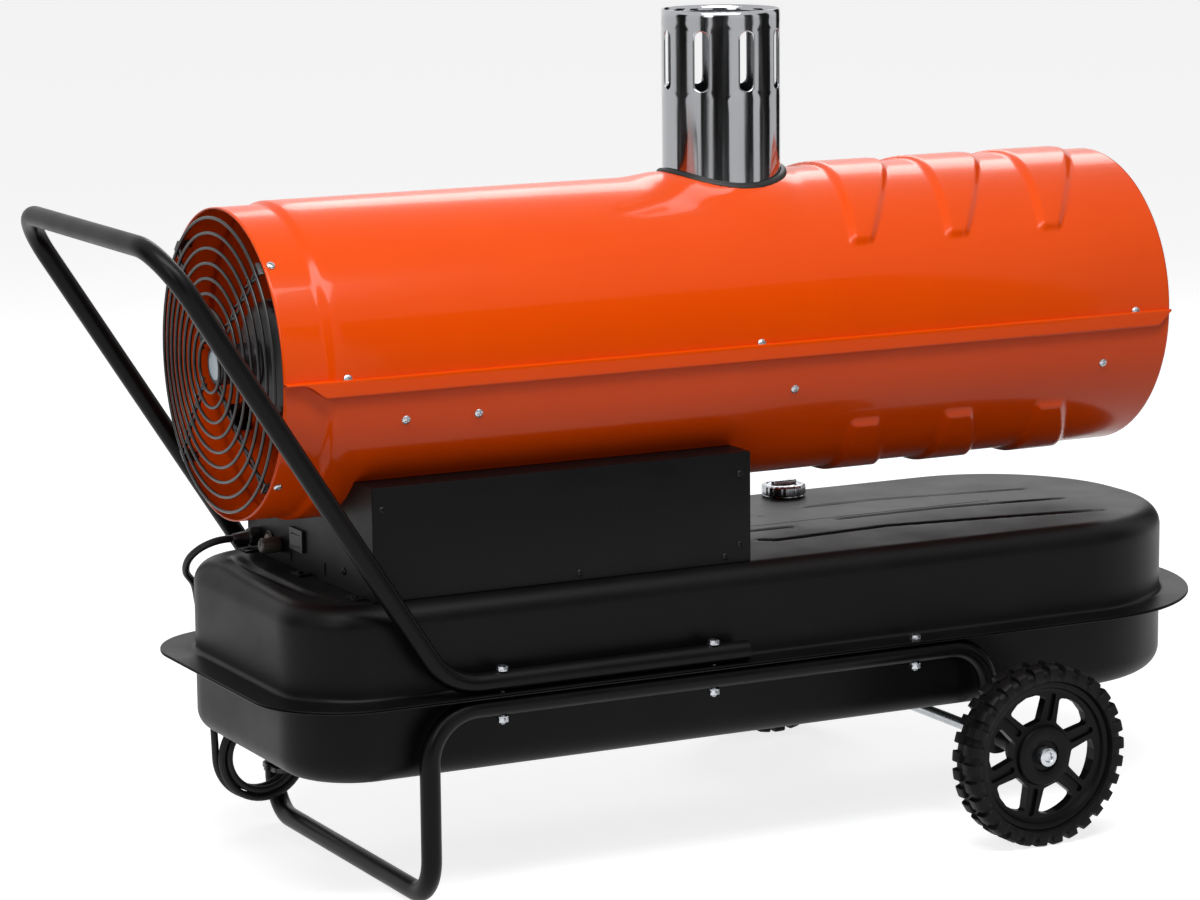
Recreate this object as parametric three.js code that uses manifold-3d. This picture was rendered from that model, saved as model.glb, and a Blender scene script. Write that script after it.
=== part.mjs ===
// An indirect oil-fired forced air heater. An orange sheet casing lies on a black control box, and that
// on a pressed fuel tank. The tank hangs in a bent tube frame with a foot in front and two wheels behind,
// and a second bent tube is the push handle. Lengths are in millimetres. X runs along the casing from the
// inlet to the outlet, Y across it and Z up; the origin is on the floor under the middle of the heater.
import * as THREE from "three";
import { mergeVertices } from "three/addons/utils/BufferGeometryUtils.js";
import Module from "manifold-3d";

const wasm = await Module();
wasm.setup();

// Fits: the gap left between pieces that touch, and the play of pieces that turn or slide
const touch = 0.3;
const play = 0.5;

// Fuel tank: two pressed pans joined at a flange
const seamHeight = 204;
const tankStart = -491;
const tankLength = 1103.5;
const tankWidth = 413;
const tankFrontCorner = 92;
const tankTailFlat = 20;
const flangeWidth = 31;
const wallFrontCorner = 77;
const upperPanDepth = 92;
const lowerPanDepth = 81;
const panEdgeRadius = 22;
const tankSheet = 1.5;
const fillerX = 230;
const fillerY = 137;
const fillerRadius = 19;
const capRadius = 24;
const capHeight = 11;
const collarWidth = 3;

// Frame and handle: bent tube
const tubeRadius = 10;
const tubeWall = 1.5;
const tubeInset = 12.5;
const footX = -345;
const footCorner = 40;
const footShoulder = 50;
const axleX = 290;
const rearShoulderX = 273;
const rearShoulder = 45;
const tubeEndPastAxle = 14;
const handleEndX = 0;
const handleKneeX = -324.6;
const handleTopX = -602.5;
const handleTopHeight = 649;
const handleKneeRadius = 62;
const handleCorner = 55;
const boltRadius = 3;
const boltHeadRadius = 6;
const boltHeadHeight = 4.5;
const boltX = [-268, -38, 193];

// Wheels
const wheelRadius = 92.6;
const wheelTrack = 586;
const tyreWidth = 39;
const rimRadius = 76;
const hubRadius = 21;
const hubLength = 43;
const axleRadius = 6;
const spacerRadius = 9;
const axleCapRadius = 10;
const axleCapLength = 6.5;
const spokeCount = 6;
const spokeWidth = 17;

// Control box: a folded chassis that cradles the casing, with a cover on each side
const boxStart = -383;
const boxLength = 408;
const boxWidth = 314;
const boxHeight = 110.3;
const boxSheet = 1.5;
const cradleHeight = 60;
const fuelLineX = -200;

// On the floor of the box: transformer, board, pump and filter
const transformerX = -285;
const transformerY = -100;
const transformerLength = 70;
const transformerWidth = 50;
const transformerHeight = 46;
const terminalRadius = 6;
const terminalHeight = 10;
const footSheet = 3;
const footMargin = 6;
const boardX = -60;
const boardY = -90;
const boardLength = 120;
const boardWidth = 80;
const boardSheet = 1.6;
const boardPost = 3;
const boardPostHeight = 6.5;
const relayLength = 30;
const relayWidth = 25;
const relayHeight = 19;
const pumpLength = 50;
const pumpWidth = 56;
const pumpHeight = 30;
const pumpMotorRadius = 14;
const pumpMotorLength = 46;
const filterX = -210;
const filterY = 75;
const filterRadius = 13;
const filterHeight = 34;

// Casing: two half shells with a seam flange on each side
const inletX = -468;
const casingLength = 992.5;
const casingRadius = 155;
const casingSheet = 1.5;
const neckStep = 3.5;
const neckLength = 43;
const joggleLength = 10;
const seamReach = 4.5;
const lipHeight = 15;
const mouthDepth = 30;
const mouthLip = 22;
const ribCount = 3;
const ribHeight = 4.5;
const ribFlank = 6;
const ribReach = 55;
const upperRibStart = 188;
const upperRibPitch = 112;
const upperRibWidth = 79;
const upperRibSlant = 31;
const upperRibEndWidth = 26;
const lowerRibStart = 182;
const lowerRibPitch = 111;
const lowerRibWidth = 72;
const lowerRibSlant = 25;
const lowerRibEndWidth = 34;

// Flue: a slotted pipe on top of the heat exchanger
const flueX = 80;
const flueRadius = 60;
const flueSheet = 1.2;
const flueRise = 166;
const flueSlotCount = 8;
const flueSlotWidth = 15;
const flueSlotHeight = 60;
const flueSlotInset = 20;
const gasketWidth = 6;
const gasketProud = 2;

// Heat exchanger and burner
const drumRadius = 118;
const drumSheet = 2;
const drumStart = -70;
const drumEnd = 486;
const chamberRadius = 82;
const chamberLength = 330;
const blastTubeRadius = 46;
const blastTubeStart = -175;
const hangerWidth = 24;
const nozzleRadius = 8;

// Fan and motor
const motorRadius = 58;
const motorStart = -438;
const motorLength = 112;
const shaftRadius = 7;
const shaftSeat = 40;
const bracketHalf = 10;
const fanX = -285;
const fanRadius = 143;
const fanHubRadius = 30;
const fanHubLength = 34;
const fanBladeCount = 5;
const fanPitch = 33;
const bracketX = -400;

// Inlet grille: rings of wire on radial wires
const grilleRings = 9;
const grilleOuterRadius = 142;
const grilleInnerRadius = 26;
const grilleDome = 9;
const grilleWire = 1.7;
const grilleHook = 14;

// Controls on the front face of the box
const glandY = 129;
const glandHeight = 313;
const glandLength = 28.5;
const resetY = 98;
const resetRadius = 6.5;
const resetTravel = 2;
const knobY = 73;
const knobRadius = 8;
const knobLength = 21;
const controlHeight = 314;
const rockerY = 25;
const rockerHeight = 327;
const rockerTilt = 6;

// Power cord
const cordRadius = 3.8;
const coilX = -371;
const coilInset = 29;
const coilHeight = 77.5;
const coilMiddleRadius = 40.2;
const coilTurns = 3 + 5 / 12;
const coilSpacing = 8.2;
const coilTieX = -313.5;
const coilTieDrop = 20;
const plugRadius = 16;

// Finishes
const paints = {
  orange: new THREE.MeshStandardMaterial({ color: "#e8451a", roughness: 0.32, metalness: 0.0 }),
  black: new THREE.MeshStandardMaterial({ color: "#17181a", roughness: 0.45, metalness: 0.0 }),
  stainless: new THREE.MeshStandardMaterial({ color: "#c9cbce", roughness: 0.22, metalness: 1.0 }),
  zinc: new THREE.MeshStandardMaterial({ color: "#b9bcc0", roughness: 0.35, metalness: 1.0 }),
  rubber: new THREE.MeshStandardMaterial({ color: "#151515", roughness: 0.8, metalness: 0.0 }),
  plastic: new THREE.MeshStandardMaterial({ color: "#1c1c1d", roughness: 0.55, metalness: 0.0 }),
  grey: new THREE.MeshStandardMaterial({ color: "#9a9c9e", roughness: 0.5, metalness: 0.0 }),
  brass: new THREE.MeshStandardMaterial({ color: "#b5903f", roughness: 0.35, metalness: 1.0 }),
  ceramic: new THREE.MeshStandardMaterial({ color: "#e9e4d8", roughness: 0.4, metalness: 0.0 }),
  board: new THREE.MeshStandardMaterial({ color: "#2f6b3c", roughness: 0.5, metalness: 0.0 }),
};

// The sides of a full turn on the casing and on everything that seats on it, so that their flats line up
const casingSides = 40;
const drumSides = 20;
const flueSides = 24;
const quarter = Math.PI / 2;

/** Turns a closed geometry into a solid, with the corners that its faces share merged. */
function solid(geometry) {
  const bare = new THREE.BufferGeometry();
  bare.setAttribute("position", geometry.getAttribute("position"));
  bare.setIndex(geometry.index);
  const merged = mergeVertices(bare, 1e-4);
  return new wasm.Manifold(
    new wasm.Mesh({
      numProp: 3,
      vertProperties: new Float32Array(merged.attributes.position.array),
      triVerts: new Uint32Array(merged.index.array),
    }),
  );
}

/** Turns a solid back into a geometry with flat faces. */
function surface(body) {
  const mesh = body.getMesh();
  const geometry = new THREE.BufferGeometry();
  geometry.setAttribute("position", new THREE.BufferAttribute(mesh.vertProperties, 3));
  geometry.setIndex(new THREE.BufferAttribute(mesh.triVerts, 1));
  const flat = geometry.toNonIndexed();
  flat.computeVertexNormals();
  return flat;
}

/** The first geometry without the others. */
function cut(geometry, ...tools) {
  return surface(tools.reduce((body, tool) => body.subtract(solid(tool)), solid(geometry)));
}

/** All the geometries as one body. */
function join(...geometries) {
  return surface(geometries.map(solid).reduce((body, next) => body.add(next)));
}

/** What the two geometries share. */
function common(a, b) {
  return surface(solid(a).intersect(solid(b)));
}

/** A named piece with its finish, in the group that carries it. */
function piece(group, name, geometry, material) {
  const mesh = new THREE.Mesh(geometry, material);
  mesh.name = name;
  group.add(mesh);
  return mesh;
}

/** A group placed inside another. */
function placed(parent, x, y, z) {
  const group = new THREE.Group();
  group.position.set(x, y, z);
  parent.add(group);
  return group;
}

/** A box between two corners. */
function block(x0, x1, y0, y1, z0, z1) {
  const geometry = new THREE.BoxGeometry(x1 - x0, y1 - y0, z1 - z0);
  return geometry.translate((x0 + x1) / 2, (y0 + y1) / 2, (z0 + z1) / 2);
}

/** A profile of [radius, distance] points turned about an axis; it closes on itself or on the axis. */
function turned(axis, points, sides = 16) {
  const profile = points.map(([radius, along]) => new THREE.Vector2(radius, along));
  const geometry = new THREE.LatheGeometry(profile, sides);
  if (axis === "x") geometry.rotateZ(-quarter);
  if (axis === "z") geometry.rotateX(quarter);
  return geometry;
}

/** A round bar along an axis, from one distance to the other. */
function bar(axis, radius, from, to, sides = 16) {
  return turned(axis, [[0, from], [radius, from], [radius, to], [0, to]], sides);
}

/** A round tube along an axis. */
function sleeve(axis, inner, outer, from, to, sides = 16) {
  return turned(axis, [[inner, from], [outer, from], [outer, to], [inner, to], [inner, from]], sides);
}

/** The corners of a regular polygon round the origin. */
function roundOutline(radius, sides) {
  return Array.from({ length: sides }, (_, i) => {
    const angle = (i / sides) * 2 * Math.PI;
    return new THREE.Vector2(radius * Math.cos(angle), radius * Math.sin(angle));
  });
}

/** A flat outline given thickness along Z, from z0 to z1. */
function plate(outline, z0, z1, holes = []) {
  const shape = outline instanceof THREE.Shape ? outline : new THREE.Shape(outline);
  shape.holes.push(...holes.map((points) => new THREE.Path(points)));
  const geometry = new THREE.ExtrudeGeometry(shape, {
    depth: z1 - z0,
    bevelEnabled: false,
    curveSegments: 6,
  });
  return geometry.translate(0, 0, z0);
}

/** A round-ended slot outline, standing along Y. */
function slotOutline(width, height) {
  const radius = width / 2;
  const straight = height / 2 - radius;
  const shape = new THREE.Shape();
  shape.absarc(0, straight, radius, 0, Math.PI);
  shape.absarc(0, -straight, radius, Math.PI, 2 * Math.PI);
  return new THREE.Shape(shape.getPoints(4));
}

/** A path through given points with given directions, walked one point per step. */
class KnotPath extends THREE.Curve {
  constructor(knots) {
    super();
    this.knots = knots;
  }

  get steps() {
    return this.knots.length - 1;
  }

  knot(t) {
    return this.knots[Math.round(t * this.steps)];
  }

  getPointAt(t) {
    return this.knot(t).point.clone();
  }

  getTangentAt(t) {
    return this.knot(t).tangent.clone();
  }
}

/** The centre line of a bent tube: straight runs between corners, each rounded to its bend radius. */
function bentPath(corners, bends, stepsPerBend = 3) {
  const points = corners.map((corner) => new THREE.Vector3(...corner));
  const heading = (i) => points[i + 1].clone().sub(points[i]).normalize();
  const knots = [{ point: points[0], tangent: heading(0) }];
  bends.forEach((radius, i) => {
    const arriving = heading(i);
    const leaving = heading(i + 1);
    const angle = arriving.angleTo(leaving);
    const axis = arriving.clone().cross(leaving).normalize();
    const start = points[i + 1].clone().addScaledVector(arriving, -radius * Math.tan(angle / 2));
    const centre = start.clone().addScaledVector(axis.clone().cross(arriving), radius);
    for (let step = 0; step <= stepsPerBend; step += 1) {
      const turn = (angle * step) / stepsPerBend;
      const arm = start.clone().sub(centre).applyAxisAngle(axis, turn);
      knots.push({ point: arm.add(centre), tangent: arriving.clone().applyAxisAngle(axis, turn) });
    }
  });
  knots.push({ point: points.at(-1), tangent: heading(points.length - 2) });
  return new KnotPath(knots);
}

/** A bar or tube that follows a path. */
function follow(path, steps, outer, outerSides, inner = 0, innerSides = 8) {
  const shape = new THREE.Shape(roundOutline(outer, outerSides));
  if (inner > 0) shape.holes.push(new THREE.Path(roundOutline(inner, innerSides)));
  return new THREE.ExtrudeGeometry(shape, { steps, extrudePath: path, bevelEnabled: false });
}

/** A bent frame tube. */
function bentTube(corners, bends) {
  const path = bentPath(corners, bends);
  return follow(path, path.steps, tubeRadius, 10, tubeRadius - tubeWall, 4);
}

/** A closed solid lofted through rings of equally many points, with a flat lid at each end.
 * flatten gives a ring's point on the plane of its lid. */
function loft(rings, flatten) {
  const count = rings[0].length;
  const index = [];
  for (let i = 0; i < rings.length - 1; i += 1) {
    for (let j = 0; j < count; j += 1) {
      const a = i * count + j;
      const b = i * count + ((j + 1) % count);
      index.push(a, b, b + count, a, b + count, a + count);
    }
  }
  const lid = (ring, base, forwards) => {
    const outline = ring.map(flatten);
    const along = THREE.ShapeUtils.area(outline) > 0;
    THREE.ShapeUtils.triangulateShape(outline, []).forEach(([p, q, r]) => {
      const turnsLeft = THREE.ShapeUtils.area([outline[p], outline[q], outline[r]]) > 0;
      const [second, third] = (turnsLeft === along) === forwards ? [q, r] : [r, q];
      index.push(base + p, base + second, base + third);
    });
  };
  lid(rings[0], 0, false);
  lid(rings.at(-1), (rings.length - 1) * count, true);
  const geometry = new THREE.BufferGeometry().setFromPoints(rings.flat());
  geometry.setIndex(index);
  geometry.computeVertexNormals();
  return geometry;
}

const heater = new THREE.Group();

// Heights and places that follow from the driving dimensions
const flangeTop = seamHeight + touch / 2 + tankSheet;
const flangeBottom = seamHeight - touch / 2 - tankSheet;
const tankTop = seamHeight + upperPanDepth;
const runHeight = flangeBottom - touch - tubeRadius;
const handleRunHeight = flangeTop + touch + tubeRadius;
const tubeY = tankWidth / 2 - tubeInset;
const boxBottom = tankTop + touch;
const boxTop = boxBottom + boxHeight;
const boxEnd = boxStart + boxLength;
const casingHeight = tankTop + cradleHeight + casingRadius;
const casingEnd = inletX + casingLength;
const axleHeight = wheelRadius;

/** One turn round the tank's plan, drawn in by an inset from the flange's edge, at a height. */
function tankRing(inset, height) {
  const front = inset < flangeWidth ? tankFrontCorner : wallFrontCorner - (inset - flangeWidth);
  const half = tankWidth / 2 - inset;
  const tail = (tankWidth - tankTailFlat) / 2 - inset;
  const start = tankStart + inset;
  const end = tankStart + tankLength - inset;
  const corners = [
    [end - tail, -half + tail, tail, -quarter, 8],
    [end - tail, half - tail, tail, 0, 8],
    [start + front, half - front, front, quarter, 4],
    [start + front, -half + front, front, 2 * quarter, 4],
  ];
  return corners.flatMap(([x, y, radius, from, spans]) =>
    Array.from({ length: spans + 1 }, (_, i) => {
      const angle = from + (quarter * i) / spans;
      return new THREE.Vector3(x + radius * Math.cos(angle), y + radius * Math.sin(angle), height);
    }),
  );
}

/** A pressed pan standing up from its flange, open below. */
function tankPan(depth) {
  const edge = panEdgeRadius;
  const innerEdge = edge - tankSheet;
  const bend = Array.from({ length: 4 }, (_, i) => (quarter * i) / 3);
  const outside = bend.map((angle) => [
    flangeWidth + edge * (1 - Math.sin(angle)),
    depth - edge * (1 - Math.cos(angle)),
  ]);
  const flange = [
    [flangeWidth, touch / 2 + tankSheet],
    [0, touch / 2 + tankSheet],
    [0, touch / 2],
    [flangeWidth + tankSheet, touch / 2],
  ];
  const inside = bend.reverse().map((angle) => [
    flangeWidth + edge - innerEdge * Math.sin(angle),
    depth - tankSheet - innerEdge * (1 - Math.cos(angle)),
  ]);
  const rings = [...outside, ...flange, ...inside].map(([inset, height]) => tankRing(inset, height));
  return loft(rings.reverse(), (point) => new THREE.Vector2(point.x, point.y));
}

/** Holes for the bolts, along each side rail, through a range of heights. */
function boltHoles(places, bottom, top) {
  return places.flatMap((x) =>
    [-tubeY, tubeY].map((y) => bar("z", boltRadius + touch, bottom, top, 8).translate(x, y, 0)),
  );
}

/** The fuel tank's two pans, its filler neck and its cap. */
function addTank(group) {
  const tank = placed(group, 0, 0, seamHeight);
  const reach = flangeWidth / 2;
  const fillerHole = bar("z", fillerRadius + touch, 0, 2 * upperPanDepth).translate(fillerX, fillerY, 0);
  const upper = cut(tankPan(upperPanDepth), fillerHole, ...boltHoles(boltX, -reach, reach));
  const lower = cut(tankPan(lowerPanDepth).rotateX(Math.PI), ...boltHoles(boltX, -reach, reach));
  piece(tank, "tank_upper", upper, paints.black);
  piece(tank, "tank_lower", lower, paints.black);

  const filler = placed(tank, fillerX, fillerY, upperPanDepth);
  const bore = fillerRadius - 2;
  const collar = touch + 1.5;
  const neck = turned("z", [
    [bore, -30],
    [fillerRadius, -30],
    [fillerRadius, touch],
    [fillerRadius + collarWidth, touch],
    [fillerRadius + collarWidth, collar],
    [fillerRadius, collar],
    [fillerRadius, collar + 4],
    [bore, collar + 4],
    [bore, -30],
  ]);
  piece(filler, "filler_neck", neck, paints.zinc);
  const skirt = (fillerRadius + play) / Math.cos(Math.PI / 16);
  const capTop = collar + touch + capHeight;
  const cap = turned("z", [
    [0, collar + 4 + touch],
    [skirt, collar + 4 + touch],
    [skirt, collar + touch],
    [capRadius, collar + touch],
    [capRadius, capTop - 3],
    [capRadius - 3, capTop],
    [0, capTop],
  ]);
  const grip = block(-capRadius * 0.7, capRadius * 0.7, -3, 3, capTop - 1, capTop + 4);
  piece(filler, "fuel_cap", join(cap, grip), paints.zinc);
}

/** The bent tube frame, the push handle and the bolts that hold both to the tank's flange. */
function addFrame(group) {
  const down = new THREE.Vector2(axleX - rearShoulderX, axleHeight - runHeight).normalize();
  const endX = axleX + down.x * tubeEndPastAxle;
  const endHeight = axleHeight + down.y * tubeEndPastAxle;
  const axleHole = bar("y", axleRadius + touch, -2 * tubeY, 2 * tubeY).translate(axleX, 0, axleHeight);
  const frame = bentTube(
    [
      [endX, -tubeY, endHeight],
      [rearShoulderX, -tubeY, runHeight],
      [footX, -tubeY, runHeight],
      [footX, -tubeY, tubeRadius],
      [footX, tubeY, tubeRadius],
      [footX, tubeY, runHeight],
      [rearShoulderX, tubeY, runHeight],
      [endX, tubeY, endHeight],
    ],
    [rearShoulder, footShoulder, footCorner, footCorner, footShoulder, rearShoulder],
  );
  const frameHoles = boltHoles(boltX, runHeight - 2 * tubeRadius, seamHeight);
  piece(group, "base_frame", cut(frame, axleHole, ...frameHoles), paints.black);

  const handle = bentTube(
    [
      [handleEndX, -tubeY, handleRunHeight],
      [handleKneeX, -tubeY, handleRunHeight],
      [handleTopX, -tubeY, handleTopHeight],
      [handleTopX, tubeY, handleTopHeight],
      [handleKneeX, tubeY, handleRunHeight],
      [handleEndX, tubeY, handleRunHeight],
    ],
    [handleKneeRadius, handleCorner, handleCorner, handleKneeRadius],
  );
  const throughHandle = boltX.filter((x) => x < handleEndX);
  const handleHoles = boltHoles(throughHandle, seamHeight, handleRunHeight + 2 * tubeRadius);
  piece(group, "handle", cut(handle, ...handleHoles), paints.black);

  const nutTop = runHeight - tubeRadius - touch;
  let number = 1;
  boltX.forEach((x) => {
    const seat = (x < handleEndX ? handleRunHeight + tubeRadius : flangeTop) + touch;
    [-tubeY, tubeY].forEach((y) => {
      const bolt = turned("z", [
        [0, nutTop - 8],
        [boltRadius, nutTop - 8],
        [boltRadius, nutTop - 5],
        [boltHeadRadius, nutTop - 5],
        [boltHeadRadius, nutTop],
        [boltRadius, nutTop],
        [boltRadius, seat],
        [boltHeadRadius, seat],
        [boltHeadRadius, seat + boltHeadHeight / 2],
        [boltHeadRadius / 2, seat + boltHeadHeight],
        [0, seat + boltHeadHeight],
      ], 8);
      piece(placed(group, x, y, 0), `frame_bolt_${number}`, bolt, paints.zinc);
      number += 1;
    });
  });
}

/** The outline of a window between two spokes: parallel to the spokes, round along the rim and hub. */
function windowOutline(inner, outer) {
  const edge = (radius, share) => {
    const half = Math.PI / spokeCount - Math.asin(spokeWidth / 2 / radius);
    const angle = half * share;
    return new THREE.Vector2(radius * Math.cos(angle), radius * Math.sin(angle));
  };
  return [
    ...[-1, -0.5, 0, 0.5, 1].map((share) => edge(outer, share)),
    ...[1, 0, -1].map((share) => edge(inner, share)),
  ];
}

/** A wheel's tyre and spoked rim, with its cap and spacer, on one side of the axle. */
function addWheel(group, name, side) {
  const wheel = placed(group, axleX, 0, axleHeight);
  const outerFace = wheelTrack / 2;
  const innerFace = outerFace - tyreWidth;
  const along = (from, to) => (side > 0 ? [from, to] : [-to, -from]);
  const [tyreFrom, tyreTo] = along(innerFace, outerFace);
  const seat = rimRadius + touch;
  const crown = tyreWidth / 4;
  const tyre = turned("y", [
    [seat, tyreFrom + 5],
    [wheelRadius - 8, tyreFrom],
    [wheelRadius - 2, tyreFrom + 2],
    [wheelRadius, tyreFrom + crown],
    [wheelRadius, tyreTo - crown],
    [wheelRadius - 2, tyreTo - 2],
    [wheelRadius - 8, tyreTo],
    [seat, tyreTo - 5],
    [seat, tyreFrom + 5],
  ], 32);
  piece(wheel, `${name}_tyre`, tyre, paints.rubber);

  const hubOuter = outerFace - 7;
  const [hubFrom, hubTo] = along(hubOuter - hubLength, hubOuter);
  const [rimFrom, rimTo] = along(innerFace + 7, outerFace - 7);
  const webMiddle = (rimFrom + rimTo) / 2;
  const web = 4;
  const bore = axleRadius + play;
  const ledge = rimRadius - 10;
  const rim = turned("y", [
    [bore, hubFrom],
    [hubRadius, hubFrom],
    [hubRadius, webMiddle - web],
    [ledge, webMiddle - web],
    [ledge, rimFrom],
    [rimRadius, rimFrom],
    [rimRadius, rimTo],
    [ledge, rimTo],
    [ledge, webMiddle + web],
    [hubRadius, webMiddle + web],
    [hubRadius, hubTo],
    [bore, hubTo],
    [bore, hubFrom],
  ], 16);
  const windows = Array.from({ length: spokeCount }, (_, i) => {
    const opening = plate(windowOutline(hubRadius + 14, ledge - 4), -2 * web, 2 * web);
    return opening.rotateX(quarter).rotateY((i * 2 * Math.PI) / spokeCount).translate(0, webMiddle, 0);
  });
  piece(wheel, `${name}_rim`, cut(rim, ...windows), paints.plastic);

  const [capFrom, capTo] = along(hubOuter + touch, hubOuter + touch + axleCapLength);
  const depth = axleCapLength - 2;
  const cap = side > 0
    ? [[axleRadius + touch, capFrom], [axleCapRadius, capFrom], [axleCapRadius, capTo - 2],
      [axleCapRadius - 3, capTo], [0, capTo], [0, capFrom + depth], [axleRadius + touch, capFrom + depth],
      [axleRadius + touch, capFrom]]
    : [[0, capFrom], [axleCapRadius - 3, capFrom], [axleCapRadius, capFrom + 2], [axleCapRadius, capTo],
      [axleRadius + touch, capTo], [axleRadius + touch, capTo - depth], [0, capTo - depth]];
  piece(wheel, `${name}_cap`, turned("y", cap, 12), paints.zinc);

  const [spacerFrom, spacerTo] = along(tubeY + tubeRadius + touch, hubOuter - hubLength - touch);
  const spacer = sleeve("y", axleRadius + touch, spacerRadius, spacerFrom, spacerTo, 16);
  piece(wheel, `${name}_spacer`, spacer, paints.black);
}

/** The axle with a wheel at each end. */
function addWheels(group) {
  const half = wheelTrack / 2 - 7 + touch + axleCapLength - 2 - touch;
  const axle = bar("y", axleRadius, -half, half);
  piece(placed(group, axleX, 0, axleHeight), "axle", axle, paints.zinc);
  addWheel(group, "near_wheel", -1);
  addWheel(group, "far_wheel", 1);
}

/** The control box: chassis, two side covers and what shows on its front face. */
function addBox(group) {
  const half = boxWidth / 2;
  const cradle = (radius) =>
    bar("x", radius, boxStart - 10, boxEnd + 10, casingSides).translate(0, 0, casingHeight);
  const shell = block(boxStart, boxEnd, -half + boxSheet + touch, half - boxSheet - touch, boxBottom, boxTop);
  const room = block(
    boxStart + boxSheet,
    boxEnd - boxSheet,
    -half,
    half,
    boxBottom + boxSheet,
    boxTop - boxSheet,
  );
  const faceHole = (radius, y, z) =>
    bar("x", radius, boxStart - 5, boxStart + 5, 16).translate(0, y, z);
  const rockerHole = block(-5, 5, -13, 13, -8, 8).translate(boxStart, rockerY, rockerHeight);
  const chassis = cut(
    shell,
    cradle(casingRadius + touch),
    cut(room, cradle(casingRadius + touch + boxSheet)),
    faceHole(7, glandY, glandHeight),
    faceHole(resetRadius + play, resetY, controlHeight),
    faceHole(3 + play, knobY, controlHeight),
    rockerHole,
    bar("z", 5, boxBottom + 30, casingHeight, 12).translate(fuelLineX, 0, 0),
  );
  piece(group, "control_box", chassis, paints.black);
  [-1, 1].forEach((side) => {
    const near = side * (half - boxSheet);
    const far = side * half;
    const cover = block(boxStart, boxEnd, Math.min(near, far), Math.max(near, far), boxBottom, boxTop);
    piece(group, side < 0 ? "near_cover" : "far_cover", cover, paints.black);
  });

  const face = placed(group, boxStart, 0, 0);
  const gland = turned("x", [
    [0, -glandLength],
    [cordRadius + 1, -glandLength],
    [cordRadius + 2.5, -8 - touch],
    [9.5, -8 - touch],
    [9.5, -touch],
    [6.7, -touch],
    [6.7, 8],
    [0, 8],
  ], 16);
  piece(placed(face, 0, glandY, glandHeight), "cable_gland", gland, paints.plastic);
  const button = turned("x", [
    [0, -4],
    [resetRadius - 1, -4],
    [resetRadius, -3],
    [resetRadius, 6],
    [0, 6],
  ]);
  piece(placed(face, 0, resetY, controlHeight), "reset_button", button, paints.grey);
  const resetBody = block(6 + resetTravel + touch, 30, -9, 9, -12, 12);
  const lip = block(boxSheet + touch, 31, -14, -9, -12, 12);
  piece(placed(face, 0, resetY, controlHeight), "reset_switch", join(resetBody, lip), paints.plastic);
  const knob = turned("x", [
    [0, -touch - knobLength],
    [knobRadius - 1, -touch - knobLength],
    [knobRadius, 1 - touch - knobLength],
    [knobRadius, -touch],
    [3, -touch],
    [3, 12],
    [0, 12],
  ], 16);
  const pointer = block(-touch - knobLength - 0.8, -touch - knobLength + 1, -1, 1, 0, knobRadius - 1);
  piece(placed(face, 0, knobY, controlHeight), "thermostat_knob", join(knob, pointer), paints.grey);
  const thermostat = cut(
    block(boxSheet + touch, 30, -11, 11, -14, 11),
    bar("x", 3 + play, 0, 12 + play, 16),
  );
  piece(placed(face, 0, knobY, controlHeight), "thermostat", thermostat, paints.plastic);
  const rocker = placed(face, 0, rockerY, rockerHeight);
  const bezel = cut(
    join(
      block(-3 - touch, -touch, -16, 16, -11, 11),
      block(-touch - 0.1, 20, -13 + touch, 13 - touch, -8 + touch, 8 - touch),
    ),
    block(-10, 12, -11.2, 11.2, -6, 6),
  );
  piece(rocker, "rocker_housing", bezel, paints.plastic);
  const paddle = join(
    block(-4, 1, -10, 10, -5.5, 5.5),
    bar("z", 2.2, -5.5, 5.5, 12),
  );
  const paddleMesh = piece(rocker, "rocker_paddle", paddle, paints.plastic);
  paddleMesh.rotation.z = THREE.MathUtils.degToRad(rockerTilt);
}

/** A box on the floor, round a middle point, from one height to another. */
function upright(x, y, length, width, z0, z1) {
  return block(x - length / 2, x + length / 2, y - width / 2, y + width / 2, z0, z1);
}

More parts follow.
